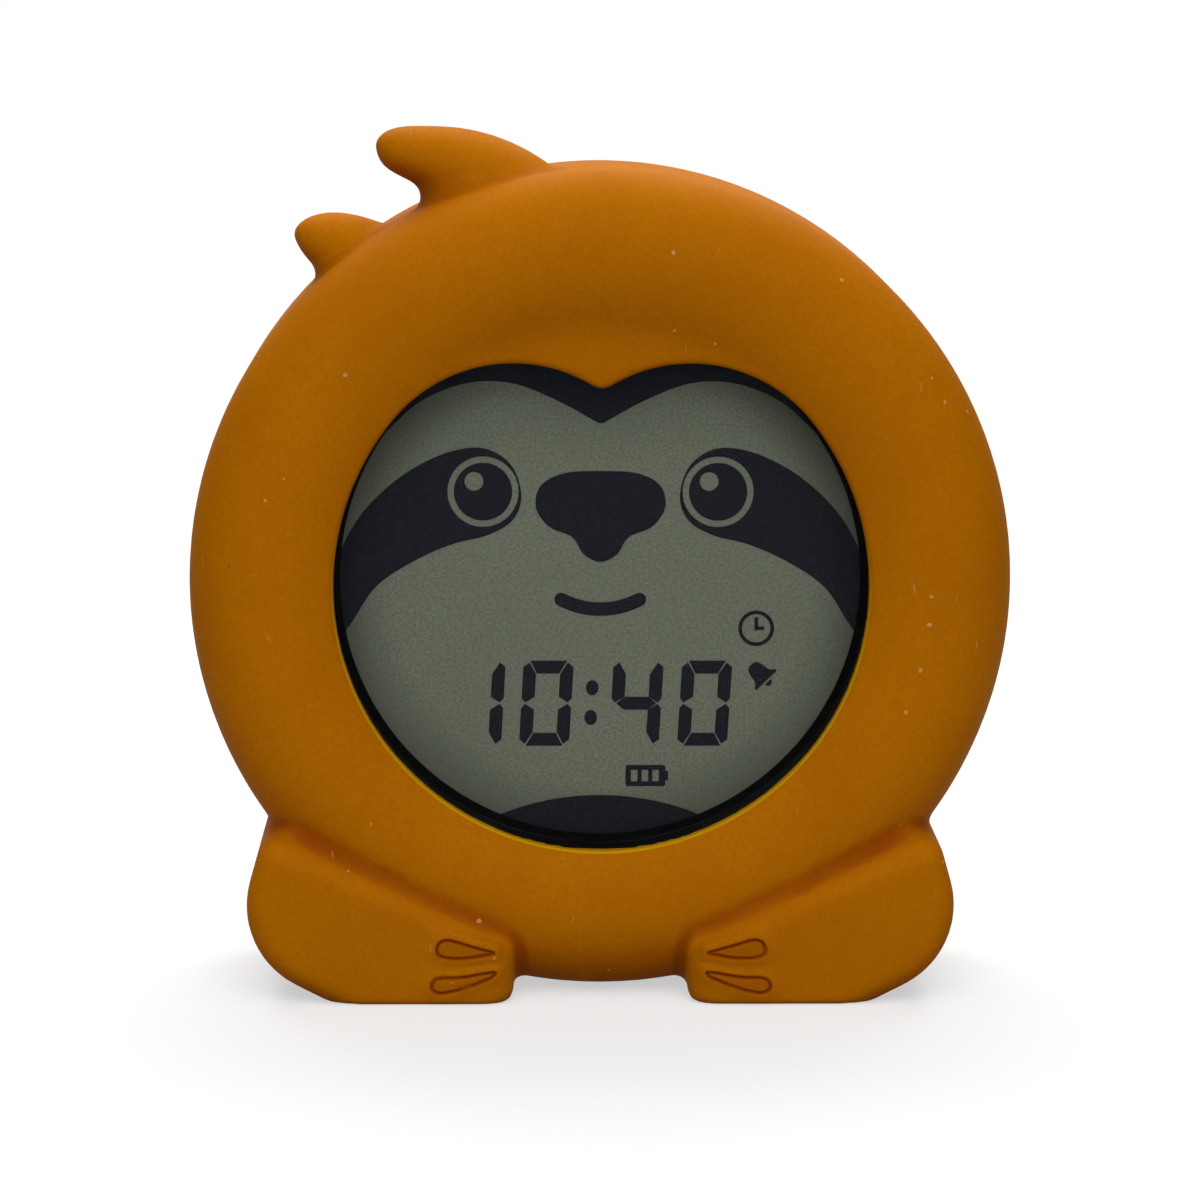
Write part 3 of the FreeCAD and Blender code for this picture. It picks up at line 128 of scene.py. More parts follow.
def length_setting(name, description, default, low=-1.0, high=3.0):
    return bpy.props.FloatProperty(
        name=name, description=description, subtype="DISTANCE", unit="LENGTH", default=default,
        min=low, max=high)


def angle_setting(name, description, degrees):
    return bpy.props.FloatProperty(
        name=name, description=description, subtype="ANGLE", default=math.radians(degrees))


def power_setting(name, description, default):
    return bpy.props.FloatProperty(
        name=name, description=description, subtype="POWER", unit="POWER", default=default, min=0.0)


class ClockColours(bpy.types.PropertyGroup):
    cover: colour_setting("Cover", "Silicone of the soft cover", (0.45, 0.146, 0.0006))
    cover_dark: colour_setting(
        "Cover shade", "Darker tone that the silicone is mottled with", (0.38, 0.108, 0.0004))
    cover_deep: colour_setting("Cover grain", "Tone of the fine grain in the silicone", (0.35, 0.098, 0.0004))
    speck: colour_setting("Dust", "Fine dust on the silicone", (0.56, 0.33, 0.11))
    # Painted shade for the silicone's valleys, its downward faces and the claw lines; also the colour of the
    # dark dust specks
    shade_and_dark_dust: colour_setting("Shade and dark dust", "Deep red tone in the valleys of the silicone", (0.20, 0.022, 0.0005))
    # Painted highlight along the lower lip of the window
    lip_highlight: colour_setting("Lip highlight", "Bright lower edge of the window", (0.55, 0.30, 0.002))
    screen: colour_setting("Screen", "Ground of the display", (0.165, 0.186, 0.137))
    segments: colour_setting("Segments", "Dark segments of the display", (0.010, 0.0112, 0.0155))
    housing: colour_setting("Housing", "Moulded plastic of the rear", (0.62, 0.58, 0.50))
    marks: colour_setting("Marks", "Printed marks on the keys", (0.80, 0.76, 0.68))


class CoverSettings(bpy.types.PropertyGroup):
    mesh_size: length_setting("Mesh size", "Spacing of the cover's mesh", 0.45 * MM, 0.3 * MM, 2 * MM)
    softening: bpy.props.IntProperty(
        name="Softening", description="How far the cover's edges are softened", default=6, min=0, max=40)
    groove: length_setting("Claw line", "Depth of the line round each claw", 0.55 * MM, 0.0, 1 * MM)
    swell: length_setting(
        "Finger swell", "How far each finger stands out round its claw", 0.4 * MM, 0.0, 1 * MM)


class ClockSizes(bpy.types.PropertyGroup):
    digit_height: length_setting("Digit height", "Height of the time", 12.55 * MM, 5 * MM, 20 * MM)
    digit_width: length_setting("Digit width", "Width of one digit", 7.27 * MM, 3 * MM, 12 * MM)
    stroke: length_setting("Segment width", "Thickness of a digit's segments", 1.9 * MM, 0.5 * MM, 3 * MM)
    slant: angle_setting("Slant", "Lean of the digits", 3.26)
    print_thickness: length_setting(
        "Print thickness", "Thickness of the segments and of the printed marks",
        0.04 * MM, 0.01 * MM, 0.2 * MM)


class StageSettings(bpy.types.PropertyGroup):
    azimuth: angle_setting("Azimuth", "Turn of the camera round the clock", -1.14)
    elevation: angle_setting("Elevation", "Height of the camera above the horizon", 9.34)
    roll: angle_setting("Roll", "Tilt of the camera", 0.2)
    distance: length_setting("Distance", "Camera to the middle of the body", 0.61, 0.2)
    field: length_setting("Field", "Width of the picture at the middle of the body", 0.1749, 0.1)
    aim_x: length_setting("Aim across", "Sideways place that the camera looks at", 0.00008)
    aim_z: length_setting("Aim height", "Height that the camera looks at", 0.05528)
    above_light: power_setting("Light above", "Strength of the soft light above", 2.3)
    high_light: power_setting("High light", "Strength of the soft light high in front", 2.8)
    front_light: power_setting("Front light", "Strength of the soft light in front", 4.4)
    back_light: power_setting("Back light", "Strength of the soft light high behind", 6.8)
    ambient: bpy.props.FloatProperty(
        name="Ambient", description="Even light from all round", default=0.08, min=0.0, max=2.0)
    floor_glow: bpy.props.FloatProperty(
        name="Floor", description="White that the camera sees in the floor beside the clock, without the "
        "light that falls on it", default=0.54, min=0.0, max=1.0)


def colours():
    return bpy.context.scene.clock_colours


def sizes():
    return bpy.context.scene.clock_sizes


def scaled(colour, factor):
    """The colour made lighter or darker, with no part above 1."""
    return tuple(min(1.0, part * factor) for part in colour)


# Shader nodes

class Tree:
    """Adds nodes to a node tree and joins them."""

    def __init__(self, tree):
        self.tree = tree
        self.count = 0

    def add(self, kind, inputs=None, **settings):
        item = self.tree.nodes.new("ShaderNode" + kind)
        self.count += 1
        item.location = (self.count * 180, 0)
        for name, value in settings.items():
            setattr(item, name, value)
        for name, value in (inputs or {}).items():
            self.put(item, name, value)
        return item

    def put(self, item, name, value):
        socket = item.inputs[name]
        if isinstance(value, bpy.types.NodeSocket):
            self.tree.links.new(value, socket)
        elif socket.type == "RGBA" and len(value) == 3:
            socket.default_value = (*value, 1.0)
        else:
            socket.default_value = value

    def use(self, group, inputs):
        return self.add("Group", inputs, node_tree=group).outputs

    def place(self):
        return self.add("TexCoord").outputs["Object"]

    def noise(self, place, scale, detail=2.0, roughness=0.5, output=0):
        return self.add("TexNoise", {"Vector": place, "Scale": scale, "Detail": detail,
                                     "Roughness": roughness}).outputs[output]

    def maths(self, operation, first, second=0.0, clamp=False):
        return self.add("Math", {0: first, 1: second}, operation=operation, use_clamp=clamp).outputs[0]

    def times(self, first, second, clamp=False):
        return self.maths("MULTIPLY", first, second, clamp)

    def vectors(self, operation, first, second):
        return self.add("VectorMath", {0: first, 1: second}, operation=operation).outputs[0]

    def length(self, vector):
        return self.add("VectorMath", {0: vector}, operation="LENGTH").outputs["Value"]

    def strayed(self, place, scale, reach):
        """The place, pushed about by up to the reach in each direction."""
        push = self.noise(place, scale, 1.0, output="Color")
        return self.vectors("ADD", place, self.vectors("MULTIPLY", push, (reach, reach, reach)))

    def cells(self, place, scale, coverage):
        """Scattered points: how far each place is from one, which points are chosen, a draw for each."""
        found = self.add("TexVoronoi", {"Vector": place, "Scale": scale, "Randomness": 1.0}).outputs
        draws = self.add("SeparateColor", {0: found["Color"]}).outputs
        return found["Distance"], self.maths("LESS_THAN", draws[0], coverage), draws[1]

    def blend(self, amount, first, second):
        return self.add("Mix", {0: amount, 6: first, 7: second}, data_type="RGBA").outputs[2]

    def steps(self, value, low, high, low_value=0.0, high_value=1.0):
        return self.add("MapRange", {"Value": value, "From Min": low, "From Max": high,
                                     "To Min": low_value, "To Max": high_value}).outputs[0]


def socket_kind(label, value=0.0):
    if label.lower().endswith("colour"):
        return "NodeSocketColor"
    return "NodeSocketVector" if isinstance(value, tuple) else "NodeSocketFloat"


def effect(name, inputs, build):
    """A node group, built once. inputs gives each socket its plain value, and build takes the
    tree and the sockets and returns what comes out."""
    group = bpy.data.node_groups.get(name)
    if group is None:
        group = bpy.data.node_groups.new(name, "ShaderNodeTree")
        for label, value in inputs.items():
            socket = group.interface.new_socket(
                label, in_out="INPUT", socket_type=socket_kind(label, value))
            socket.default_value = value
        tree = Tree(group)
        results = build(tree, group.nodes.new("NodeGroupInput").outputs)
        for label in results:
            group.interface.new_socket(label, in_out="OUTPUT", socket_type=socket_kind(label))
        end = group.nodes.new("NodeGroupOutput")
        for label, result in results.items():
            tree.put(end, label, result)
    return group


def tint_effect(name, second, inputs, find_mask):
    """A node group that lays a second colour over the first where find_mask says."""
    def build(tree, start):
        mask = find_mask(tree, start)
        return {"Colour": tree.blend(mask, start["Colour"], start[second]), "Mask": mask}
    grey = (0.5, 0.5, 0.5, 1.0)
    return effect(name, {"Colour": grey, second: grey, **inputs}, build)


def mottle_effect():
    """Cloudy change between two tones, as in moulded rubber and plastic."""
    def mask(tree, start):
        place = tree.place()
        large = tree.noise(place, start["Scale"], 3.0, 0.55)
        fine = tree.noise(place, tree.times(start["Scale"], 9.0))
        both = tree.maths("ADD", tree.times(large, 0.75), tree.times(fine, 0.25))
        return tree.times(tree.steps(both, 0.38, 0.62), start["Amount"])
    return tint_effect("Mottle", "Second colour", {"Amount": 1.0, "Scale": 60.0}, mask)


def dust_effect():
    """Sparse fine specks of dust, of uneven size."""
    def mask(tree, start):
        spot = tree.strayed(tree.place(), 900.0, 0.0004)
        away, chosen, draw = tree.cells(spot, start["Scale"], start["Coverage"])
        near = tree.maths("LESS_THAN", away, tree.times(tree.maths("POWER", draw, 3.0), start["Size"]))
        return tree.times(tree.times(chosen, near), start["Strength"], clamp=True)
    return tint_effect("Dust", "Dust colour", {
        "Scale": 420.0, "Coverage": 0.2, "Size": 0.25, "Strength": 0.6}, mask)


def lint_effect():
    """Short fine fibres and scratches, lying in all directions."""
    def mask(tree, start):
        spot = tree.strayed(tree.place(), 160.0, 0.004)
        total = 0.0
        for turn in (0.35, 1.25, 2.3):
            laid = tree.add("Mapping", {
                "Vector": spot, "Rotation": (0.0, turn, 0.0), "Location": (turn, 0.0, turn),
                "Scale": (1.0, 0.35, 0.14)}).outputs[0]
            away, chosen, _ = tree.cells(laid, start["Scale"], start["Coverage"])
            fibre = tree.times(chosen, tree.steps(away, start["Size"], 0.0), clamp=True)
            total = tree.maths("ADD", fibre, total, clamp=True)
        return tree.times(total, start["Strength"], clamp=True)
    return tint_effect("Lint", "Lint colour", {
        "Scale": 900.0, "Coverage": 0.02, "Size": 0.12, "Strength": 0.5}, mask)


def painted_shade_effect():
    """Painted shade: a deeper red tone in the valleys, on faces that look down and along the claw lines,
    standing in for shade and the rubber's light on itself there.
    """
    def mask(tree, start):
        valley, pressed = (tree.add("Attribute", attribute_name=name).outputs["Fac"]
                           for name in ("valley", "pressed"))
        shape = tree.maths("MAXIMUM", tree.times(valley, 0.8), pressed)
        return tree.times(shape, start["Amount"], clamp=True)
    return tint_effect("Hollow", "Hollow colour", {"Amount": 1.0}, mask)


def painted_lip_highlight_effect():
    """Painted highlight: a thin brighter edge round the lower part of the window, standing in for the light
    that the upturned lip catches and lets through.
    """
    def mask(tree, start):
        parts = tree.add("SeparateXYZ", {0: tree.place()}).outputs
        height = tree.maths("SUBTRACT", parts[2], start["Centre height"])
        radius = tree.length(tree.add("CombineXYZ", {0: parts[0], 2: height}).outputs[0])
        off = tree.maths("ABSOLUTE", tree.maths("SUBTRACT", radius, start["Radius"]))
        band = tree.steps(off, start["Width"], tree.times(start["Width"], 0.5))
        low = tree.steps(height, 0.012, -0.010)
        return tree.times(band, low, clamp=True)
    return tint_effect("Window lip", "Lip colour", {
        "Centre height": 0.06, "Radius": 0.038, "Width": 0.0004}, mask)


def rub_effect():
    """Light rubbing where edges stick out."""
    def mask(tree, start):
        edge = tree.steps(tree.add("NewGeometry").outputs["Pointiness"], 0.505, 0.56)
        broken = tree.steps(tree.noise(tree.place(), 350.0, 3.0), 0.35, 0.65)
        return tree.times(tree.times(edge, broken), start["Amount"], clamp=True)
    return tint_effect("Edge rub", "Rubbed colour", {"Amount": 0.5}, mask)


def grain_effect():
    """Fine spark-eroded mould texture as a height, with a matching change of roughness."""
    def build(tree, start):
        place = tree.place()
        grain = tree.noise(place, start["Scale"], 2.0, 0.6)
        change, fine = (tree.times(tree.maths("SUBTRACT", part, 0.5), start["Change"])
                        for part in (tree.noise(place, 45.0), grain))
        total = tree.maths("ADD", start["Roughness"], tree.maths("ADD", change, fine), clamp=True)
        return {"Height": grain, "Roughness": total}
    return effect("Mould grain", {"Scale": 2500.0, "Roughness": 0.5, "Change": 0.1}, build)


def brushed_effect():
    """Drawn or turned metal: fine stretched lines as a height and a roughness."""
    def build(tree, start):
        place = tree.place()
        lines = tree.noise(tree.vectors("MULTIPLY", place, start["Direction"]), start["Scale"], 3.0)
        change = tree.times(tree.maths("SUBTRACT", lines, 0.5), 0.25)
        return {"Height": lines,
                "Roughness": tree.maths("ADD", start["Roughness"], change, clamp=True),
                "Tone": tree.steps(tree.noise(place, 260.0), 0.3, 0.7, 0.86, 1.0)}
    return effect("Drawn metal", {"Direction": (1.0, 1.0, 1.0), "Scale": 1500.0, "Roughness": 0.3}, build)


def new_material(name):
    material = bpy.data.materials.new(name)
    material.use_nodes = True
    shader = next(item for item in material.node_tree.nodes if item.type == "BSDF_PRINCIPLED")
    return material, Tree(material.node_tree), shader


def paint(tree, shader, colour, roughness, specular=0.5):
    tree.put(shader, "Base Color", colour)
    tree.put(shader, "Roughness", roughness)
    tree.put(shader, "Specular IOR Level", specular)


def bump(tree, shader, height, strength, distance):
    item = tree.add("Bump", {"Height": height, "Strength": strength, "Distance": distance})
    tree.put(shader, "Normal", item.outputs[0])


def moulded(name, colour, second, roughness=0.5, grain=2500.0, depth=0.00002, specular=0.35,
            dust=0.0, rubbed=None):
    """Moulded plastic or rubber: mottled tone, mould grain, rubbed edges and dust."""
    material, tree, shader = new_material(name)
    out = tree.use(mottle_effect(), {
        "Colour": colour, "Second colour": second, "Amount": 0.6, "Scale": 60.0})["Colour"]
    if rubbed:
        out = tree.use(rub_effect(), {"Colour": out, "Rubbed colour": rubbed, "Amount": 0.6})["Colour"]
    if dust:
        out = tree.use(dust_effect(), {
            "Colour": out, "Dust colour": (0.8, 0.78, 0.72), "Strength": dust})["Colour"]
    surface = tree.use(grain_effect(), {"Scale": grain, "Roughness": roughness, "Change": 0.12})
    paint(tree, shader, out, surface["Roughness"], specular)
    bump(tree, shader, surface["Height"], 0.5, depth)
    return material


def metal(name, colour, roughness=0.3, direction=(1.0, 1.0, 1.0), scale=1500.0):
    material, tree, shader = new_material(name)
    surface = tree.use(brushed_effect(), {"Direction": direction, "Scale": scale, "Roughness": roughness})
    paint(tree, shader, tree.blend(surface["Tone"], scaled(colour, 0.6), colour), surface["Roughness"])
    tree.put(shader, "Metallic", 1.0)
    bump(tree, shader, surface["Height"], 0.4, 0.00001)
    return material


def dress(names, material):
    for name in names:
        set_material(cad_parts[name].data, material)


def set_material(mesh, material):
    mesh.materials.clear()
    mesh.materials.append(material)


def add_object(name, data):
    item = bpy.data.objects.new(name, data)
    bpy.context.collection.objects.link(item)
    return item


# Flat printed shapes on the display and on the keys

def smooth_line(points, closed=True, parts=10):
    """Points along a smooth curve through the given places."""
    count = len(points)
    result = []
    last = count if closed else count - 1
    for i in range(last):
        if closed:
            before, start, end, after = (points[(i + k) % count] for k in (-1, 0, 1, 2))
        else:
            before = points[max(i - 1, 0)]
            start, end = points[i], points[i + 1]
            after = points[min(i + 2, count - 1)]
        for part in range(parts):
            t = part / parts
            weights = (-t ** 3 + 2 * t ** 2 - t, 3 * t ** 3 - 5 * t ** 2 + 2,
                       -3 * t ** 3 + 4 * t ** 2 + t, t ** 3 - t ** 2)
            x = sum(w * p[0] for w, p in zip(weights, (before, start, end, after))) / 2
            z = sum(w * p[1] for w, p in zip(weights, (before, start, end, after))) / 2
            result.append((x, z))
    if not closed:
        result.append(points[-1])
    return result


def ring_line(x, z, radius_x, radius_z=None, parts=48):
    """A circle or an oval, as a closed line."""
    radius_z = radius_z or radius_x
    turns = [2 * math.pi * i / parts for i in range(parts)]
    return [(x + radius_x * math.cos(turn), z + radius_z * math.sin(turn)) for turn in turns]


def arc_line(x, z, radius, start, end, parts=24):
    """Part of a circle, between two angles in degrees."""
    turns = [math.radians(start + (end - start) * i / parts) for i in range(parts + 1)]
    return [(x + radius * math.cos(turn), z + radius * math.sin(turn)) for turn in turns]


def band_line(centre_line, half):
    """Outline of a stroke with round ends along an open line."""
    left, right = [], []
    for i, (x, z) in enumerate(centre_line):
        ax, az = centre_line[max(i - 1, 0)]
        bx, bz = centre_line[min(i + 1, len(centre_line) - 1)]
        length = math.hypot(bx - ax, bz - az)
        nx, nz = -(bz - az) / length, (bx - ax) / length
        left.append((x + nx * half, z + nz * half))
        right.append((x - nx * half, z - nz * half))

    def cap(at, start):
        base = math.atan2(start[1] - at[1], start[0] - at[0])
        turns = [base - math.pi * step / 8 for step in range(1, 8)]
        return [(at[0] + half * math.cos(turn), at[1] + half * math.sin(turn)) for turn in turns]

    return left + cap(centre_line[-1], left[-1]) + right[::-1] + cap(centre_line[0], right[0])


def flip(points):
    return [(-x, z) for x, z in reversed(points)]


def moved(points, dx, dz, turn=0.0):
    c, s = math.cos(turn), math.sin(turn)
    return [(dx + x * c - z * s, dz + x * s + z * c) for x, z in points]


def get_points(mesh):
    """The mesh's points in millimetres."""
    points = np.empty(len(mesh.vertices) * 3, dtype=np.float64)
    mesh.vertices.foreach_get("co", points)
    return points.reshape(-1, 3) / MM


def set_points(mesh, points):
    mesh.vertices.foreach_set("co", (points * MM).reshape(-1))
    mesh.update()


def printed(name, outlines, place, material, thickness, back=False):
    """A thin printed piece from closed outlines in millimetres; an outline inside another is a hole.
    place is the point that (0, 0) stands for, in metres, on the printed surface."""
    curve = bpy.data.curves.new(name, "CURVE")
    curve.dimensions = "2D"
    curve.fill_mode = "BOTH"
    curve.extrude = thickness / 2
    for outline in outlines:
        spline = curve.splines.new("POLY")
        spline.points.add(len(outline) - 1)
        for vertex, (x, z) in zip(spline.points, outline):
            vertex.co = (x * MM, z * MM, 0.0, 1.0)
        spline.use_cyclic_u = True
    holder = bpy.data.objects.new(name + "_outline", curve)
    mesh = bpy.data.meshes.new_from_object(holder)
    bpy.data.objects.remove(holder)
    bpy.data.curves.remove(curve)
    side = 1.0 if back else -1.0
    x, y, z = (part / MM for part in place)
    across, up, out = get_points(mesh).T
    set_points(mesh, np.stack((x - side * across, y + side * (thickness / 2 / MM + out), z + up), axis=1))
    clean_mesh(mesh)
    mesh.name = name
    set_material(mesh, material)
    return add_object(name, mesh)


def clean_mesh(mesh):
    shape = bmesh.new()
    shape.from_mesh(mesh)
    bmesh.ops.remove_doubles(shape, verts=shape.verts, dist=1e-7)
    bmesh.ops.recalc_face_normals(shape, faces=shape.faces)
    shape.to_mesh(mesh)
    shape.free()
    mesh.update()


def segment_shapes(width, height, stroke):
    """The seven segments of a digit, as outlines from its lower left corner."""
    gap = 0.1
    chamfer = 0.95
    tip = 0.72
    mid = height / 2
    half = stroke / 2
    upper_left = [
        (0.0, mid + tip), (0.55, mid + gap), (stroke, mid + chamfer),
        (stroke, height - stroke - gap), (chamfer - gap, height - 0.28), (0.0, height - chamfer)]
    top = [(chamfer, height), (width - chamfer, height), (width - stroke - gap, height - stroke),
           (stroke + gap, height - stroke)]
    middle = [(tip, mid), (stroke, mid + half), (width - stroke, mid + half), (width - tip, mid),
              (width - stroke, mid - half), (stroke, mid - half)]

    def upside_down(points):
        return [(x, height - z) for x, z in points]

    def mirrored(points):
        return [(width - x, z) for x, z in points]

    return {
        "a": top, "b": mirrored(upper_left), "c": mirrored(upside_down(upper_left)),
        "d": upside_down(top), "e": upside_down(upper_left), "f": upper_left, "g": middle,
    }


DIGIT_SEGMENTS = {"0": "abcdef", "1": "bc", "4": "fgbc"}


class CLOCK_OT_cover(bpy.types.Operator):
    """Soft silicone cover with its paws, tufts and claws"""
    bl_idname = "clock.cover"
    bl_label = "Silicone cover"

    def execute(self, context):
        piece = softened_cover(context.scene.clock_cover)
        set_material(piece.data, silicone())
        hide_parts("silicone_cover")
        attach(piece, "clock")
        return {"FINISHED"}


def softened_cover(values):
    """The cover with an even mesh and soft edges, and with its claws drawn as fine lines."""
    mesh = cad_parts["silicone_cover"].data.copy()
    fill_claws(mesh)
    piece = add_object("cover", mesh)
    even = piece.modifiers.new("even_mesh", "REMESH")
    even.mode = "VOXEL"
    even.voxel_size = values.mesh_size
    soften = piece.modifiers.new("soften", "SMOOTH")
    soften.factor = 0.5
    soften.iterations = values.softening
    lighter = piece.modifiers.new("lighter", "DECIMATE")
    lighter.ratio = KEPT_SHARE
    found = bpy.context.evaluated_depsgraph_get()
    even_mesh = bpy.data.meshes.new_from_object(piece.evaluated_get(found))
    piece.modifiers.clear()
    piece.data = even_mesh
    bpy.data.meshes.remove(mesh)
    even_mesh.name = "cover"
    refine_claws(even_mesh)
    paint_valley_shade(even_mesh)
    carve_claws(even_mesh, values)
    even_mesh.shade_smooth()
    return piece


def claw_distance(points):
    """How far each point is outside the nearest claw outline, seen from the front; less than 0 inside."""
    x = np.abs(points[:, 0])
    z = points[:, 2]
    best = np.full(len(points), np.inf)
    for claw in CLAWS:
        outline = np.array(smooth_line(list(claw), parts=5))
        follow = np.roll(outline, -1, axis=0)
        near = np.full(len(points), np.inf)
        inside = np.zeros(len(points), dtype=bool)
        for (ax, az), (bx, bz) in zip(outline, follow):
            along = np.clip(((x - ax) * (bx - ax) + (z - az) * (bz - az))
                            / ((bx - ax) ** 2 + (bz - az) ** 2), 0.0, 1.0)
            near = np.minimum(near, np.hypot(x - ax - along * (bx - ax), z - az - along * (bz - az)))
            crosses = (az > z) != (bz > z)
            if az != bz:
                inside ^= crosses & (x < ax + (z - az) * (bx - ax) / (bz - az))
        best = np.minimum(best, np.where(inside, -near, near))
    return best


def on_front(points):
    return points[:, 1] < PAW_FRONT + FRONT_DEPTH


def fill_claws(mesh):
    """Brings the floors of the recessed claws up to the front of the paws."""
    points = get_points(mesh)
    floor = np.abs(points[:, 1] - PAW_FRONT - CLAW_RECESS) < 0.02
    chosen = floor & (claw_distance(points) < 1.2)
    points[chosen, 1] = PAW_FRONT
    set_points(mesh, points)


def refine_claws(mesh):
    """Divides the mesh round the claws until its edges are short enough for the lines."""
    shape = bmesh.new()
    shape.from_mesh(mesh)
    for longest, reach in REFINEMENT:
        shape.verts.ensure_lookup_table()
        points = np.array([vertex.co for vertex in shape.verts]) / MM
        chosen = on_front(points) & (np.abs(claw_distance(points)) < reach)
        edges = [edge for edge in shape.edges
                 if edge.calc_length() > longest * MM
                 and (chosen[edge.verts[0].index] or chosen[edge.verts[1].index])]
        bmesh.ops.subdivide_edges(shape, edges=edges, cuts=1)
        many_sided = [face for face in shape.faces if len(face.verts) > 3]
        bmesh.ops.triangulate(shape, faces=many_sided)
        shape.verts.index_update()
    shape.to_mesh(mesh)
    shape.free()


def paw_surface(points):
    """Depth of the paw's plain front at each point, with its rounded edge."""
    over_x = np.maximum(0.0, PAW_FLAT_X - np.abs(points[:, 0]))
    over_z = np.maximum(0.0, PAW_FLAT_Z - points[:, 2])
    inside = np.maximum(0.0, PAW_EDGE ** 2 - over_x ** 2 - over_z ** 2)
    return PAW_FRONT + PAW_EDGE - np.sqrt(inside)


def carve_claws(mesh, values):
    """Swells a finger round each claw and presses a fine line along the claw's outline."""
    points = get_points(mesh)
    away = claw_distance(points)
    front = on_front(points)
    blend = np.clip((1.6 - away) / 0.6, 0.0, 1.0) * front
    outside = np.maximum(away, 0.0)
    swell = values.swell / MM * np.exp(-(outside / SWELL_WIDTH) ** 2)
    line = values.groove / MM * np.exp(-(away / LINE_WIDTH) ** 2)
    floor = CLAW_FLOOR * np.clip(-away / CLAW_SLOPE, 0.0, 1.0)
    wanted = paw_surface(points) - swell + line + floor
    points[:, 1] += (wanted - points[:, 1]) * blend
    reach = front & (away > 1.0)
    points[reach, 1] -= (swell * (1.0 - blend))[reach]
    set_points(mesh, points)
    # Painted shade along each claw's line, and a lighter share of it inside the claw
    pressed = np.maximum(np.exp(-(away / LINE_SHADE) ** 2), 0.3 * (away < 0)) * blend
    keep_mask(mesh, "pressed", pressed)


def keep_mask(mesh, name, values):
    mask = mesh.attributes.new(name, "FLOAT", "POINT")
    mask.data.foreach_set("value", np.ascontiguousarray(values, dtype=np.float32))


def paint_valley_shade(mesh):
    """Marks where shade is painted on the rubber: its valleys, by how far smoothing lifts them, and the
    faces that look down, but not the ring above the window."""
    points = get_points(mesh)
    edges = np.empty(len(mesh.edges) * 2, dtype=np.int32)
    mesh.edges.foreach_get("vertices", edges)
    first, second = edges.reshape(-1, 2).T
    count = np.bincount(edges, minlength=len(points)).astype(float)[:, None]
    soft = points.copy()
    for turn in range(SOFT_TURNS):
        total = np.zeros_like(soft)
        for axis in range(3):
            for here, there in ((first, second), (second, first)):
                total[:, axis] += np.bincount(here, weights=soft[there, axis], minlength=len(soft))
        soft = (1.0 - SOFT_SHARE) * soft + SOFT_SHARE * total / count
    normals = np.empty(len(points) * 3, dtype=np.float64)
    mesh.vertices.foreach_get("normal", normals)
    normals = normals.reshape(-1, 3)
    lift = ((soft - points) * normals).sum(axis=1)
    away = np.hypot(points[:, 0], points[:, 2] - CENTRE_Z / MM)
    on_ring = rise(-away, -RING_RADIUS, 3.0) * rise(points[:, 2], RING_FOOT, 6.0)
    # Painted shade: deeper in the valleys and on the faces that look down
    shade = np.maximum(rise(lift, 0.06, 0.42), 0.55 * rise(-normals[:, 2], 0.25, 0.5))
    keep_mask(mesh, "valley", shade * (1.0 - on_ring))


def rise(values, start, width):
    """From 0 at the start to 1 after the width."""
    return np.clip((values - start) / width, 0.0, 1.0)


def silicone():
    """Matt ochre silicone: cloudy tone, painted red shade in the valleys, under downward faces and along the
    claw lines, a painted highlight on the lower lip, dust and lint.
    """
    tones = colours()
    material, tree, shader = new_material("silicone")
    layers = (
        (mottle_effect(), {"Second colour": tones.cover_dark, "Amount": 0.45, "Scale": 55.0}),
        (mottle_effect(), {"Second colour": tones.cover_deep, "Amount": 0.5, "Scale": 1900.0}),
        # Painted shade in the valleys, under the downward faces and along the claw lines
        (painted_shade_effect(), {"Hollow colour": tones.shade_and_dark_dust, "Amount": 0.85}),
        # Painted highlight along the window's lower lip
        (painted_lip_highlight_effect(), {"Lip colour": tones.lip_highlight, "Centre height": CENTRE_Z,
                        "Radius": (WINDOW_RADIUS + 0.14) * MM, "Width": 0.17 * MM}),
        (dust_effect(), {"Dust colour": tones.speck, "Scale": 330.0, "Coverage": 0.5, "Size": 0.12,
                         "Strength": 0.7}),
        # Dark dust specks, in the same colour as the painted shade
        (dust_effect(), {"Dust colour": tones.shade_and_dark_dust, "Scale": 360.0, "Coverage": 0.14, "Size": 0.10,
                         "Strength": 0.6}),
        (lint_effect(), {"Lint colour": tones.speck, "Scale": 900.0, "Coverage": 0.02, "Size": 0.16,
                         "Strength": 0.55}),
    )
    tone = tones.cover
    for group, inputs in layers:
        tone = tree.use(group, {"Colour": tone, **inputs})["Colour"]
    surface = tree.use(grain_effect(), {"Scale": 3200.0, "Roughness": 0.6, "Change": 0.12})
    paint(tree, shader, tone, surface["Roughness"], 0.015)
    bump(tree, shader, surface["Height"], 0.5, 0.000015)
    return material


class CLOCK_OT_window(bpy.types.Operator):
    """Black frame, clear lens and seal in front of the display"""
    bl_idname = "clock.window"
    bl_label = "Window"

    def execute(self, context):
        dress(["display_bezel"], moulded(
            "black_plastic", (0.003, 0.003, 0.003), (0.006, 0.006, 0.006), roughness=0.45,
            specular=0.05, grain=2600.0, depth=0.00001))
        dress(["display_gasket"], moulded(
            "gasket_foam", (0.008, 0.008, 0.008), (0.014, 0.014, 0.014), roughness=0.85, grain=1400.0,
            depth=0.00008, specular=0.1))
        dress(["window_lens"], clear_lens())
        return {"FINISHED"}


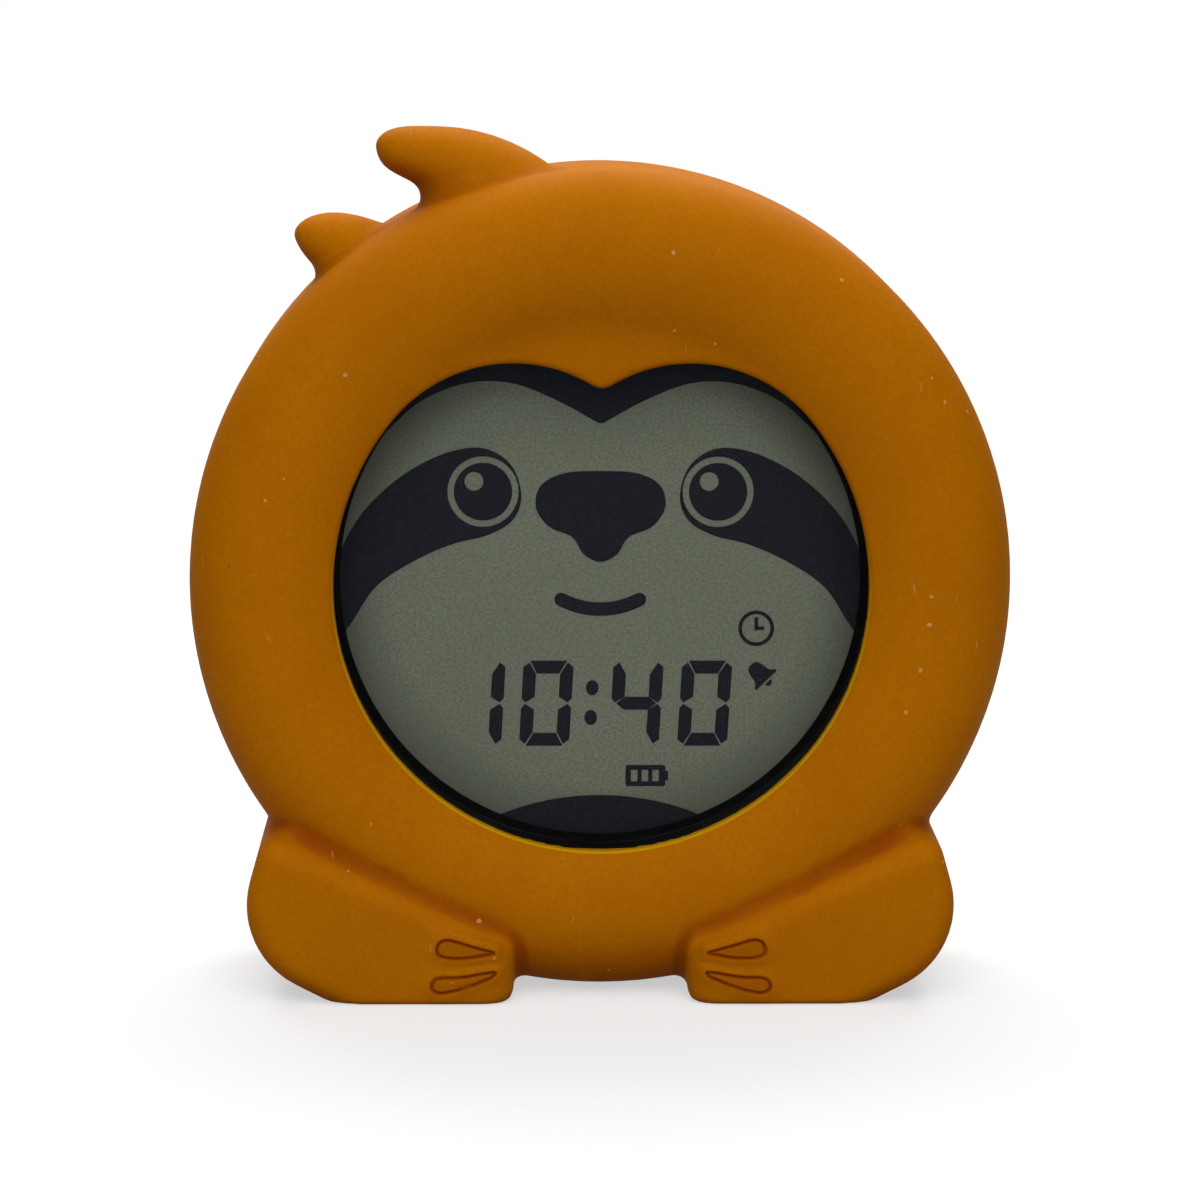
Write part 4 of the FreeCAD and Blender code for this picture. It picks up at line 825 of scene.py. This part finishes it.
def clear_lens():
    """Clear plastic, a little smeared, with a few specks of dust."""
    material, tree, shader = new_material("clear_lens")
    smear = tree.noise(tree.place(), 90.0, 3.0)
    dust = tree.use(dust_effect(), {
        "Colour": (0.0, 0.0, 0.0), "Dust colour": (1.0, 1.0, 1.0), "Scale": 260.0, "Coverage": 0.05,
        "Size": 0.14, "Strength": 0.5})["Mask"]
    paint(tree, shader, (0.02, 0.02, 0.02), tree.steps(smear, 0.3, 0.7, 0.03, 0.08), 0.2)
    tree.put(shader, "Alpha", tree.maths("ADD", tree.times(dust, 0.4), 0.03, clamp=True))
    return material


class CLOCK_OT_screen(bpy.types.Operator):
    """Liquid crystal display with its face, time and marks"""
    bl_idname = "clock.screen"
    bl_label = "Display"

    def execute(self, context):
        dress(["lcd_glass"], screen_ground())
        ink = segment_ink()
        thin = sizes().print_thickness
        border = [ring_line(0.0, 0.0, radius, parts=144) for radius in (BORDER_OUTER, BORDER_INNER)]
        for name, outlines, material, thickness in (
                ("display_face", face_shapes(), ink, thin), ("display_time", time_shapes(), ink, thin),
                ("display_marks", mark_shapes(), ink, thin),
                ("display_border", border, border_ink(), 1.5 * thin)):
            piece = printed(name, outlines, PRINT_PLACE, material, thickness)
            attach(piece, "clock")
        return {"FINISHED"}


def screen_ground():
    """Grey-green reflective ground with a faint sparkle from behind, and painted shade darkening it towards
    its rim, where the recess shades it.
    """
    material, tree, shader = new_material("screen_ground")
    ground = colours().screen
    place = tree.place()
    sparkle = tree.noise(place, 2600.0)
    slow = tree.noise(place, 40.0, 1.0)
    darker = scaled(ground, 0.82)
    tone = tree.blend(tree.steps(sparkle, 0.35, 0.65), darker, scaled(ground, 1.2))
    tone = tree.blend(tree.steps(slow, 0.3, 0.7, 0.0, 0.25), tone, darker)
    # Painted shade from the recess, darker towards the rim
    radius = tree.length(tree.vectors("SUBTRACT", place, PRINT_PLACE))
    tone = tree.blend(tree.steps(radius, 0.030, 0.0378, 0.0, 0.7), tone, scaled(ground, 0.45))
    paint(tree, shader, tone, tree.steps(slow, 0.3, 0.7, 0.42, 0.52), 0.05)
    return material


def border_ink():
    """Deep black mask printed round the edge of the display."""
    material, tree, shader = new_material("border_ink")
    tone = tree.use(mottle_effect(), {
        "Colour": (0.0012, 0.0012, 0.0014), "Second colour": (0.003, 0.003, 0.003),
        "Scale": 400.0})["Colour"]
    surface = tree.use(grain_effect(), {"Scale": 2400.0, "Roughness": 0.6, "Change": 0.1})
    paint(tree, shader, tone, surface["Roughness"], 0.03)
    return material


def segment_ink():
    """Dark segments with the sparkle of the ground behind them."""
    material, tree, shader = new_material("segment_ink")
    dark = colours().segments
    sparkle = tree.noise(tree.place(), 2600.0)
    tone = tree.blend(tree.steps(sparkle, 0.35, 0.65), dark, scaled(dark, 1.5))
    paint(tree, shader, tone, tree.steps(sparkle, 0.3, 0.7, 0.45, 0.55), 0.03)
    return material


def face_shapes():
    """A plain animal face: eye patches, eyes, nose, mouth, the hair above and the belly line below,
    in millimetres from the middle of the window."""
    patch = smooth_line([
        (11.4, 12.2), (12.9, 16.6), (16.9, 19.0), (22.5, 18.2), (28.8, 14.8), (34.4, 9.4), (37.9, 2.8),
        (38.4, -2.6), (37.2, -7.4), (35.9, -6.4), (32.4, -1.2), (27.2, 2.4), (21.5, 5.0), (16.2, 6.4),
        (12.6, 8.6)])
    eye_x, eye_z = 16.9, 12.7
    half_face = [patch, ring_line(eye_x, eye_z, 5.1), ring_line(eye_x, eye_z, 4.2)]
    gleam = ring_line(0.0, 0.0, 1.35)
    shapes = half_face + [moved(gleam, eye_x - 1.3, eye_z + 1.5)]
    shapes += [flip(points) for points in half_face] + [moved(gleam, -eye_x - 1.3, eye_z + 1.5)]
    nose = smooth_line([
        (0.0, 15.7), (5.2, 15.4), (8.6, 13.6), (9.3, 10.4), (7.4, 7.6), (4.1, 6.1), (2.4, 3.6),
        (0.0, 2.5), (-2.4, 3.6), (-4.1, 6.1), (-7.4, 7.6), (-9.3, 10.4), (-8.6, 13.6), (-5.2, 15.4)])
    mouth = band_line(arc_line(0.0, 7.6, 12.0, 242, 298), 1.0)
    hair = smooth_line([
        (31.5, 20.6), (26.0, 25.6), (19.5, 28.3), (13.0, 28.4), (6.5, 26.0), (0.3, 22.6)], False)
    above = [(x, min(z, PRINT_REACH)) for x, z in arc_line(0.0, 0.0, BORDER_OUTER, 147, 33, 40)]
    belly = arc_line(0.0, -69.8, 38.0, 115.9, 64.1, 30)
    below = [(x, max(z, -PRINT_REACH)) for x, z in arc_line(0.0, 0.0, BORDER_OUTER, -65, -115, 24)]
    return shapes + [nose, mouth, hair + flip(hair) + above, belly + below]


def time_shapes():
    """Ten forty in seven-segment digits, in millimetres from the middle of the window."""
    values = sizes()
    width = values.digit_width / MM
    height = values.digit_height / MM
    segments = segment_shapes(width, height, values.stroke / MM)
    lean = math.tan(values.slant)
    foot = -24.5
    shapes = []
    for digit, left in (("1", -21.6), ("0", -11.75), ("4", 1.27), ("0", 11.2)):
        for key in DIGIT_SEGMENTS[digit]:
            shapes.append([(left + x + z * lean, foot + z) for x, z in segments[key]])
    for x, z in ((-1.12, -15.95), (-1.33, -20.33)):
        shapes.append(ring_line(x, z, 0.92, 1.12, 24))
    return shapes


def mark_shapes():
    """Small plain marks: a dial, a bell and a battery."""
    shapes = dial_mark(22.57, -7.2, 2.6, 0.27)
    shapes += [moved(points, 23.2, -13.9, math.radians(44)) for points in bell_mark(1.08)]
    shapes += [moved(points, 6.85, -28.93) for points in battery_mark()]
    return shapes


def dial_mark(x, z, radius, half):
    ring = [ring_line(x, z, radius), ring_line(x, z, radius - 2 * half)]
    hands = [(x - half, z + radius * 0.62), (x + half, z + radius * 0.62), (x + half, z + half),
             (x + radius * 0.45, z + half), (x + radius * 0.45, z - half), (x - half, z - half)]
    return ring + [hands]


def bell_mark(scale):
    body = smooth_line([
        (0.0, 1.75), (0.75, 1.5), (1.1, 0.7), (1.3, -0.35), (1.9, -1.0), (1.7, -1.25), (0.0, -1.25),
        (-1.7, -1.25), (-1.9, -1.0), (-1.3, -0.35), (-1.1, 0.7), (-0.75, 1.5)])
    clapper = arc_line(0.0, -1.5, 0.55, 180, 360, 12)
    return [[(x * scale, z * scale) for x, z in points] for points in (body, clapper)]


def battery_mark():
    case = [(-3.1, 1.3), (-2.85, 1.57), (2.45, 1.57), (2.7, 1.3), (2.7, 0.75), (3.1, 0.65), (3.1, -0.65),
            (2.7, -0.75), (2.7, -1.3), (2.45, -1.57), (-2.85, -1.57), (-3.1, -1.3)]
    bars = []
    for left in (-2.3, -0.75, 0.8):
        bars.append([(left, 0.85), (left + 0.95, 0.85), (left + 0.95, -0.85), (left, -0.85)])
    return [case] + bars


class CLOCK_OT_housing(bpy.types.Operator):
    """Hard rear housing, battery door and the shell behind the cover"""
    bl_idname = "clock.housing"
    bl_label = "Housing"

    def execute(self, context):
        base = colours().housing
        dress(["front_housing", "rear_housing", "battery_door"], moulded(
            "housing_plastic", base, scaled(base, 0.955), roughness=0.48, grain=2300.0, depth=0.00003,
            dust=0.25, rubbed=scaled(base, 1.18)))
        return {"FINISHED"}


class CLOCK_OT_keys(bpy.types.Operator):
    """Keys on the rear, the alarm slider and their printed marks"""
    bl_idname = "clock.keys"
    bl_label = "Keys"

    def execute(self, context):
        tones = colours()
        dress([*KEYS.values(), "alarm_switch"], moulded(
            "key_rubber", tones.cover, tones.cover_dark, roughness=0.55, grain=2600.0, specular=0.2,
            rubbed=scaled(tones.cover, 1.25)))
        dress([button.replace("button", "plunger") for button in KEYS.values()], moulded(
            "key_core", (0.75, 0.75, 0.72), (0.68, 0.68, 0.65), roughness=0.4, grain=1800.0))
        ink = moulded("mark_paint", tones.marks, scaled(tones.marks, 0.85), grain=4000.0, depth=0.000005)
        marks = {
            "time_key": dial_mark(0.0, 0.0, 2.4, 0.22),
            "alarm_key": bell_mark(1.25),
            "mode_key": cycle_mark(2.1, 0.22),
            "minus_key": [bar_shape(3.4, 0.5)],
            "light_key": lamp_mark(),
            "plus_key": [plus_shape(3.4, 0.5)],
        }
        for body, outlines in marks.items():
            low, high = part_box(KEYS[body])
            place = ((low.x + high.x) / 2, high.y, (low.z + high.z) / 2)
            piece = printed(body + "_mark", outlines, place, ink, sizes().print_thickness, back=True)
            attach(piece, body)
        return {"FINISHED"}


def bar_shape(length, thick):
    a, b = length / 2, thick / 2
    return [(-a, b), (a, b), (a, -b), (-a, -b)]


def plus_shape(length, thick):
    a, b = length / 2, thick / 2
    return [(-a, b), (-b, b), (-b, a), (b, a), (b, b), (a, b), (a, -b), (b, -b), (b, -a), (-b, -a),
            (-b, -b), (-a, -b)]


def cycle_mark(radius, half):
    """An open ring with an arrow head, for stepping through the settings."""
    end = math.radians(325)
    head = moved([(-0.85, 0.0), (0.85, 0.0), (0.0, 1.15)],
                 radius * math.cos(end), radius * math.sin(end), end)
    return [band_line(arc_line(0.0, 0.0, radius, 55, 317, 36), half), head]


def lamp_mark():
    """A small moon beside three rays, for the night light."""
    moon = arc_line(0.0, 0.0, 2.1, 60, 300, 30) + arc_line(1.1, 0.0, 1.8, 270, 90, 20)
    rays = []
    for turn in (math.radians(-40), 0.0, math.radians(40)):
        rays.append(moved(bar_shape(1.4, 0.45), 4.2 * math.cos(turn), 4.2 * math.sin(turn) * 0.62, turn))
    return [moved(points, -1.2, 0.0) for points in [moon] + rays]


class CLOCK_OT_batteries(bpy.types.Operator):
    """Cells, contact plates and springs behind the door"""
    bl_idname = "clock.batteries"
    bl_label = "Batteries"

    def execute(self, context):
        dress(["upper_cell", "middle_cell", "lower_cell"], cell_jacket())
        dress(["contact_plates", "contact_springs", "speaker_contacts"], metal(
            "nickel", (0.72, 0.70, 0.66), roughness=0.25, direction=(0.2, 1.0, 1.0), scale=1200.0))
        return {"FINISHED"}


def cell_jacket():
    """Dark sleeve with a copper coloured band at each end."""
    material, tree, shader = new_material("cell_jacket")
    place = tree.place()
    across = tree.add("SeparateXYZ", {0: place}).outputs[0]
    drawn = tree.noise(place, 900.0)
    tone = tree.blend(tree.steps(drawn, 0.35, 0.65), (0.030, 0.034, 0.042), (0.045, 0.05, 0.06))
    band = tree.maths("GREATER_THAN", tree.maths("ABSOLUTE", across), 0.0165)
    paint(tree, shader, tree.blend(band, tone, (0.45, 0.28, 0.06)), tree.steps(drawn, 0.3, 0.7, 0.28, 0.38))
    tree.put(shader, "Coat Weight", 0.4)
    return material


class CLOCK_OT_screws(bpy.types.Operator):
    """Zinc plated screws"""
    bl_idname = "clock.screws"
    bl_label = "Screws"

    def execute(self, context):
        dress(["door_screw", "housing_screws", "tray_screws", "board_screws", "key_board_screws"], metal(
            "zinc", (0.55, 0.55, 0.54), roughness=0.34, scale=2200.0))
        return {"FINISHED"}


class CLOCK_OT_inside(bpy.types.Operator):
    """Boards, lamps, light guide, speaker and the other inner pieces"""
    bl_idname = "clock.inside"
    bl_label = "Inside"

    def execute(self, context):
        dress(["main_board", "key_board"], board_finish())
        dress(["clock_chip", "key_switches", "switch_body", "board_header"], moulded(
            "chip_resin", (0.01, 0.01, 0.01), (0.02, 0.02, 0.02), roughness=0.35, grain=700.0))
        dress(["crystal_can", "capacitor", "speaker_magnet", "speaker_frame"], metal(
            "drawn_can", (0.68, 0.68, 0.68), direction=(1.0, 1.0, 0.1)))
        dress(["speaker_cone", "strip_connector"], moulded(
            "speaker_paper", (0.02, 0.02, 0.02), (0.035, 0.033, 0.03), roughness=0.9, grain=900.0,
            depth=0.0001, specular=0.1))
        dress(["display_tray", "diffuser_sheet", "reflector_sheet"], moulded(
            "white_plastic", (0.78, 0.78, 0.76), (0.72, 0.72, 0.70)))
        dress(["light_guide"], moulded(
            "light_guide", (0.75, 0.80, 0.78), (0.70, 0.76, 0.74), roughness=0.12, grain=400.0))
        dress(["night_light_lamps"], moulded(
            "lamp_resin", (0.85, 0.72, 0.25), (0.80, 0.66, 0.20), roughness=0.25, grain=900.0))
        return {"FINISHED"}


def board_finish():
    """Green lacquer over copper tracks."""
    material, tree, shader = new_material("circuit_board")
    place = tree.place()
    upright = tree.add("Mapping", {"Vector": place, "Rotation": (math.pi / 2, 0.0, 0.0)}).outputs[0]
    tracks = tree.add("TexBrick", {
        "Vector": upright, "Scale": 120.0, "Mortar Size": 0.03, "Mortar Smooth": 0.2}).outputs["Fac"]
    noise = tree.noise(place, 150.0)
    green = tree.blend(tracks, (0.015, 0.11, 0.045), (0.035, 0.19, 0.08))
    green = tree.blend(tree.steps(noise, 0.3, 0.7, 0.0, 0.3), green, (0.01, 0.07, 0.03))
    paint(tree, shader, green, tree.steps(noise, 0.3, 0.7, 0.25, 0.4))
    bump(tree, shader, tracks, 0.3, 0.00003)
    return material


class CLOCK_OT_stage(bpy.types.Operator):
    """Pale floor, soft light and the camera"""
    bl_idname = "clock.stage"
    bl_label = "Stage"

    def execute(self, context):
        values = context.scene.clock_stage
        build_floor(values)
        build_camera(values)
        build_lights(values)
        context.scene.view_settings.view_transform = "Standard"
        return {"FINISHED"}


def background_mask(tree):
    """Rays that see the white studio: the camera's, and those that metal and glass send."""
    path = tree.add("LightPath").outputs
    both = tree.maths("MAXIMUM", path["Is Camera Ray"], path["Is Glossy Ray"])
    return tree.maths("MAXIMUM", both, path["Is Transmission Ray"])


def build_floor(values):
    """A wide round floor, a little under the feet, that keeps the clock's shadow."""
    shape = bmesh.new()
    middle = shape.verts.new((0.0, 0.0, 0.0))
    before = None
    for radius in FLOOR_RINGS:
        ring = [shape.verts.new((x, y, 0.0)) for x, y in ring_line(0.0, 0.0, radius, parts=FLOOR_PARTS)]
        for i, here in enumerate(ring):
            follow = (i + 1) % FLOOR_PARTS
            if before is None:
                shape.faces.new((middle, here, ring[follow]))
            else:
                shape.faces.new((before[i], here, ring[follow], before[follow]))
        before = ring
    mesh = bpy.data.meshes.new("floor")
    shape.to_mesh(mesh)
    shape.free()
    item = add_object("floor", mesh)
    item.location.z = -FLOOR_DROP
    mesh.materials.append(floor_finish(values))


def floor_finish(values):
    """Pale grey near the clock, and white far away wherever the background is seen in it."""
    material, tree, shader = new_material("floor")
    place = tree.place()
    far = tree.add("MapRange", {"Value": tree.length(place), "From Min": 0.12, "From Max": 0.6},
                   interpolation_type="SMOOTHSTEP").outputs[0]
    near_tone = tree.blend(tree.noise(place, 30.0), (0.42, 0.42, 0.42), (0.44, 0.44, 0.44))
    paint(tree, shader, tree.blend(far, near_tone, (0.05, 0.05, 0.05)), 0.9, 0.0)
    white = tree.steps(far, 0.0, 1.0, values.floor_glow, 1.0)
    glow = tree.add("Emission", {"Color": (1.0, 1.0, 1.0),
                                 "Strength": tree.times(background_mask(tree), white)})
    total = tree.add("AddShader", {0: shader.outputs[0], 1: glow.outputs[0]})
    output = next(part for part in material.node_tree.nodes if part.type == "OUTPUT_MATERIAL")
    tree.put(output, "Surface", total.outputs[0])
    return material


def build_camera(values):
    data = bpy.data.cameras.new("camera")
    data.sensor_fit = "HORIZONTAL"
    data.sensor_width = 36.0
    data.lens = data.sensor_width * values.distance / values.field
    data.clip_start = 0.01
    data.clip_end = 50.0
    camera = add_object("camera", data)
    aim = Vector((values.aim_x, 0.0, values.aim_z))
    level = math.cos(values.elevation)
    back = Vector((math.sin(values.azimuth) * level, -math.cos(values.azimuth) * level,
                   math.sin(values.elevation)))
    camera.location = aim + back * values.distance
    turn = (-back).to_track_quat("-Z", "Y")
    camera.rotation_mode = "QUATERNION"
    camera.rotation_quaternion = turn @ Quaternion((0.0, 0.0, 1.0), values.roll)
    bpy.context.scene.camera = camera


def build_lights(values):
    for name, (place, size) in LIGHTS.items():
        data = bpy.data.lights.new("light_" + name, "AREA")
        data.shape = "RECTANGLE"
        data.size, data.size_y = size
        data.energy = getattr(values, name + "_light")
        item = add_object("light_" + name, data)
        item.location = place
        item.rotation_mode = "QUATERNION"
        item.rotation_quaternion = (Vector(LIGHT_AIM) - Vector(place)).to_track_quat("-Z", "Y")
    world = bpy.data.worlds.new("studio")
    bpy.context.scene.world = world
    world.use_nodes = True
    tree = Tree(world.node_tree)
    sky = next(part for part in world.node_tree.nodes if part.type == "BACKGROUND")
    tree.put(sky, "Color", (1.0, 1.0, 1.0))
    tree.put(sky, "Strength", tree.steps(background_mask(tree), 0.0, 1.0, values.ambient, 1.0))


class CLOCK_PT_panel(bpy.types.Panel):
    """Lists the steps of the build and their settings"""
    bl_idname = "CLOCK_PT_panel"
    bl_label = "Alarm clock"
    bl_space_type = "VIEW_3D"
    bl_region_type = "UI"
    bl_category = "Alarm clock"

    def draw(self, context):
        for operator in STEPS:
            self.layout.operator(operator.bl_idname)
        for settings in SETTINGS:
            group = getattr(context.scene, settings)
            box = self.layout.box()
            for name in group.__annotations__:
                box.prop(group, name)


STEPS = (
    CLOCK_OT_cover,
    CLOCK_OT_window,
    CLOCK_OT_screen,
    CLOCK_OT_housing,
    CLOCK_OT_keys,
    CLOCK_OT_batteries,
    CLOCK_OT_screws,
    CLOCK_OT_inside,
    CLOCK_OT_stage,
)
SETTINGS = {
    "clock_colours": ClockColours,
    "clock_cover": CoverSettings,
    "clock_sizes": ClockSizes,
    "clock_stage": StageSettings,
}
CLASSES = (*SETTINGS.values(), *STEPS, CLOCK_PT_panel)


def register():
    for item in CLASSES:
        bpy.utils.register_class(item)
    for name, kind in SETTINGS.items():
        setattr(bpy.types.Scene, name, bpy.props.PointerProperty(type=kind))


def unregister():
    for name in SETTINGS:
        delattr(bpy.types.Scene, name)
    for item in reversed(CLASSES):
        bpy.utils.unregister_class(item)


def main():
    register()
    for step in STEPS:
        family, name = step.bl_idname.split(".")
        getattr(getattr(bpy.ops, family), name)()


if __name__ == "__main__":
    main()
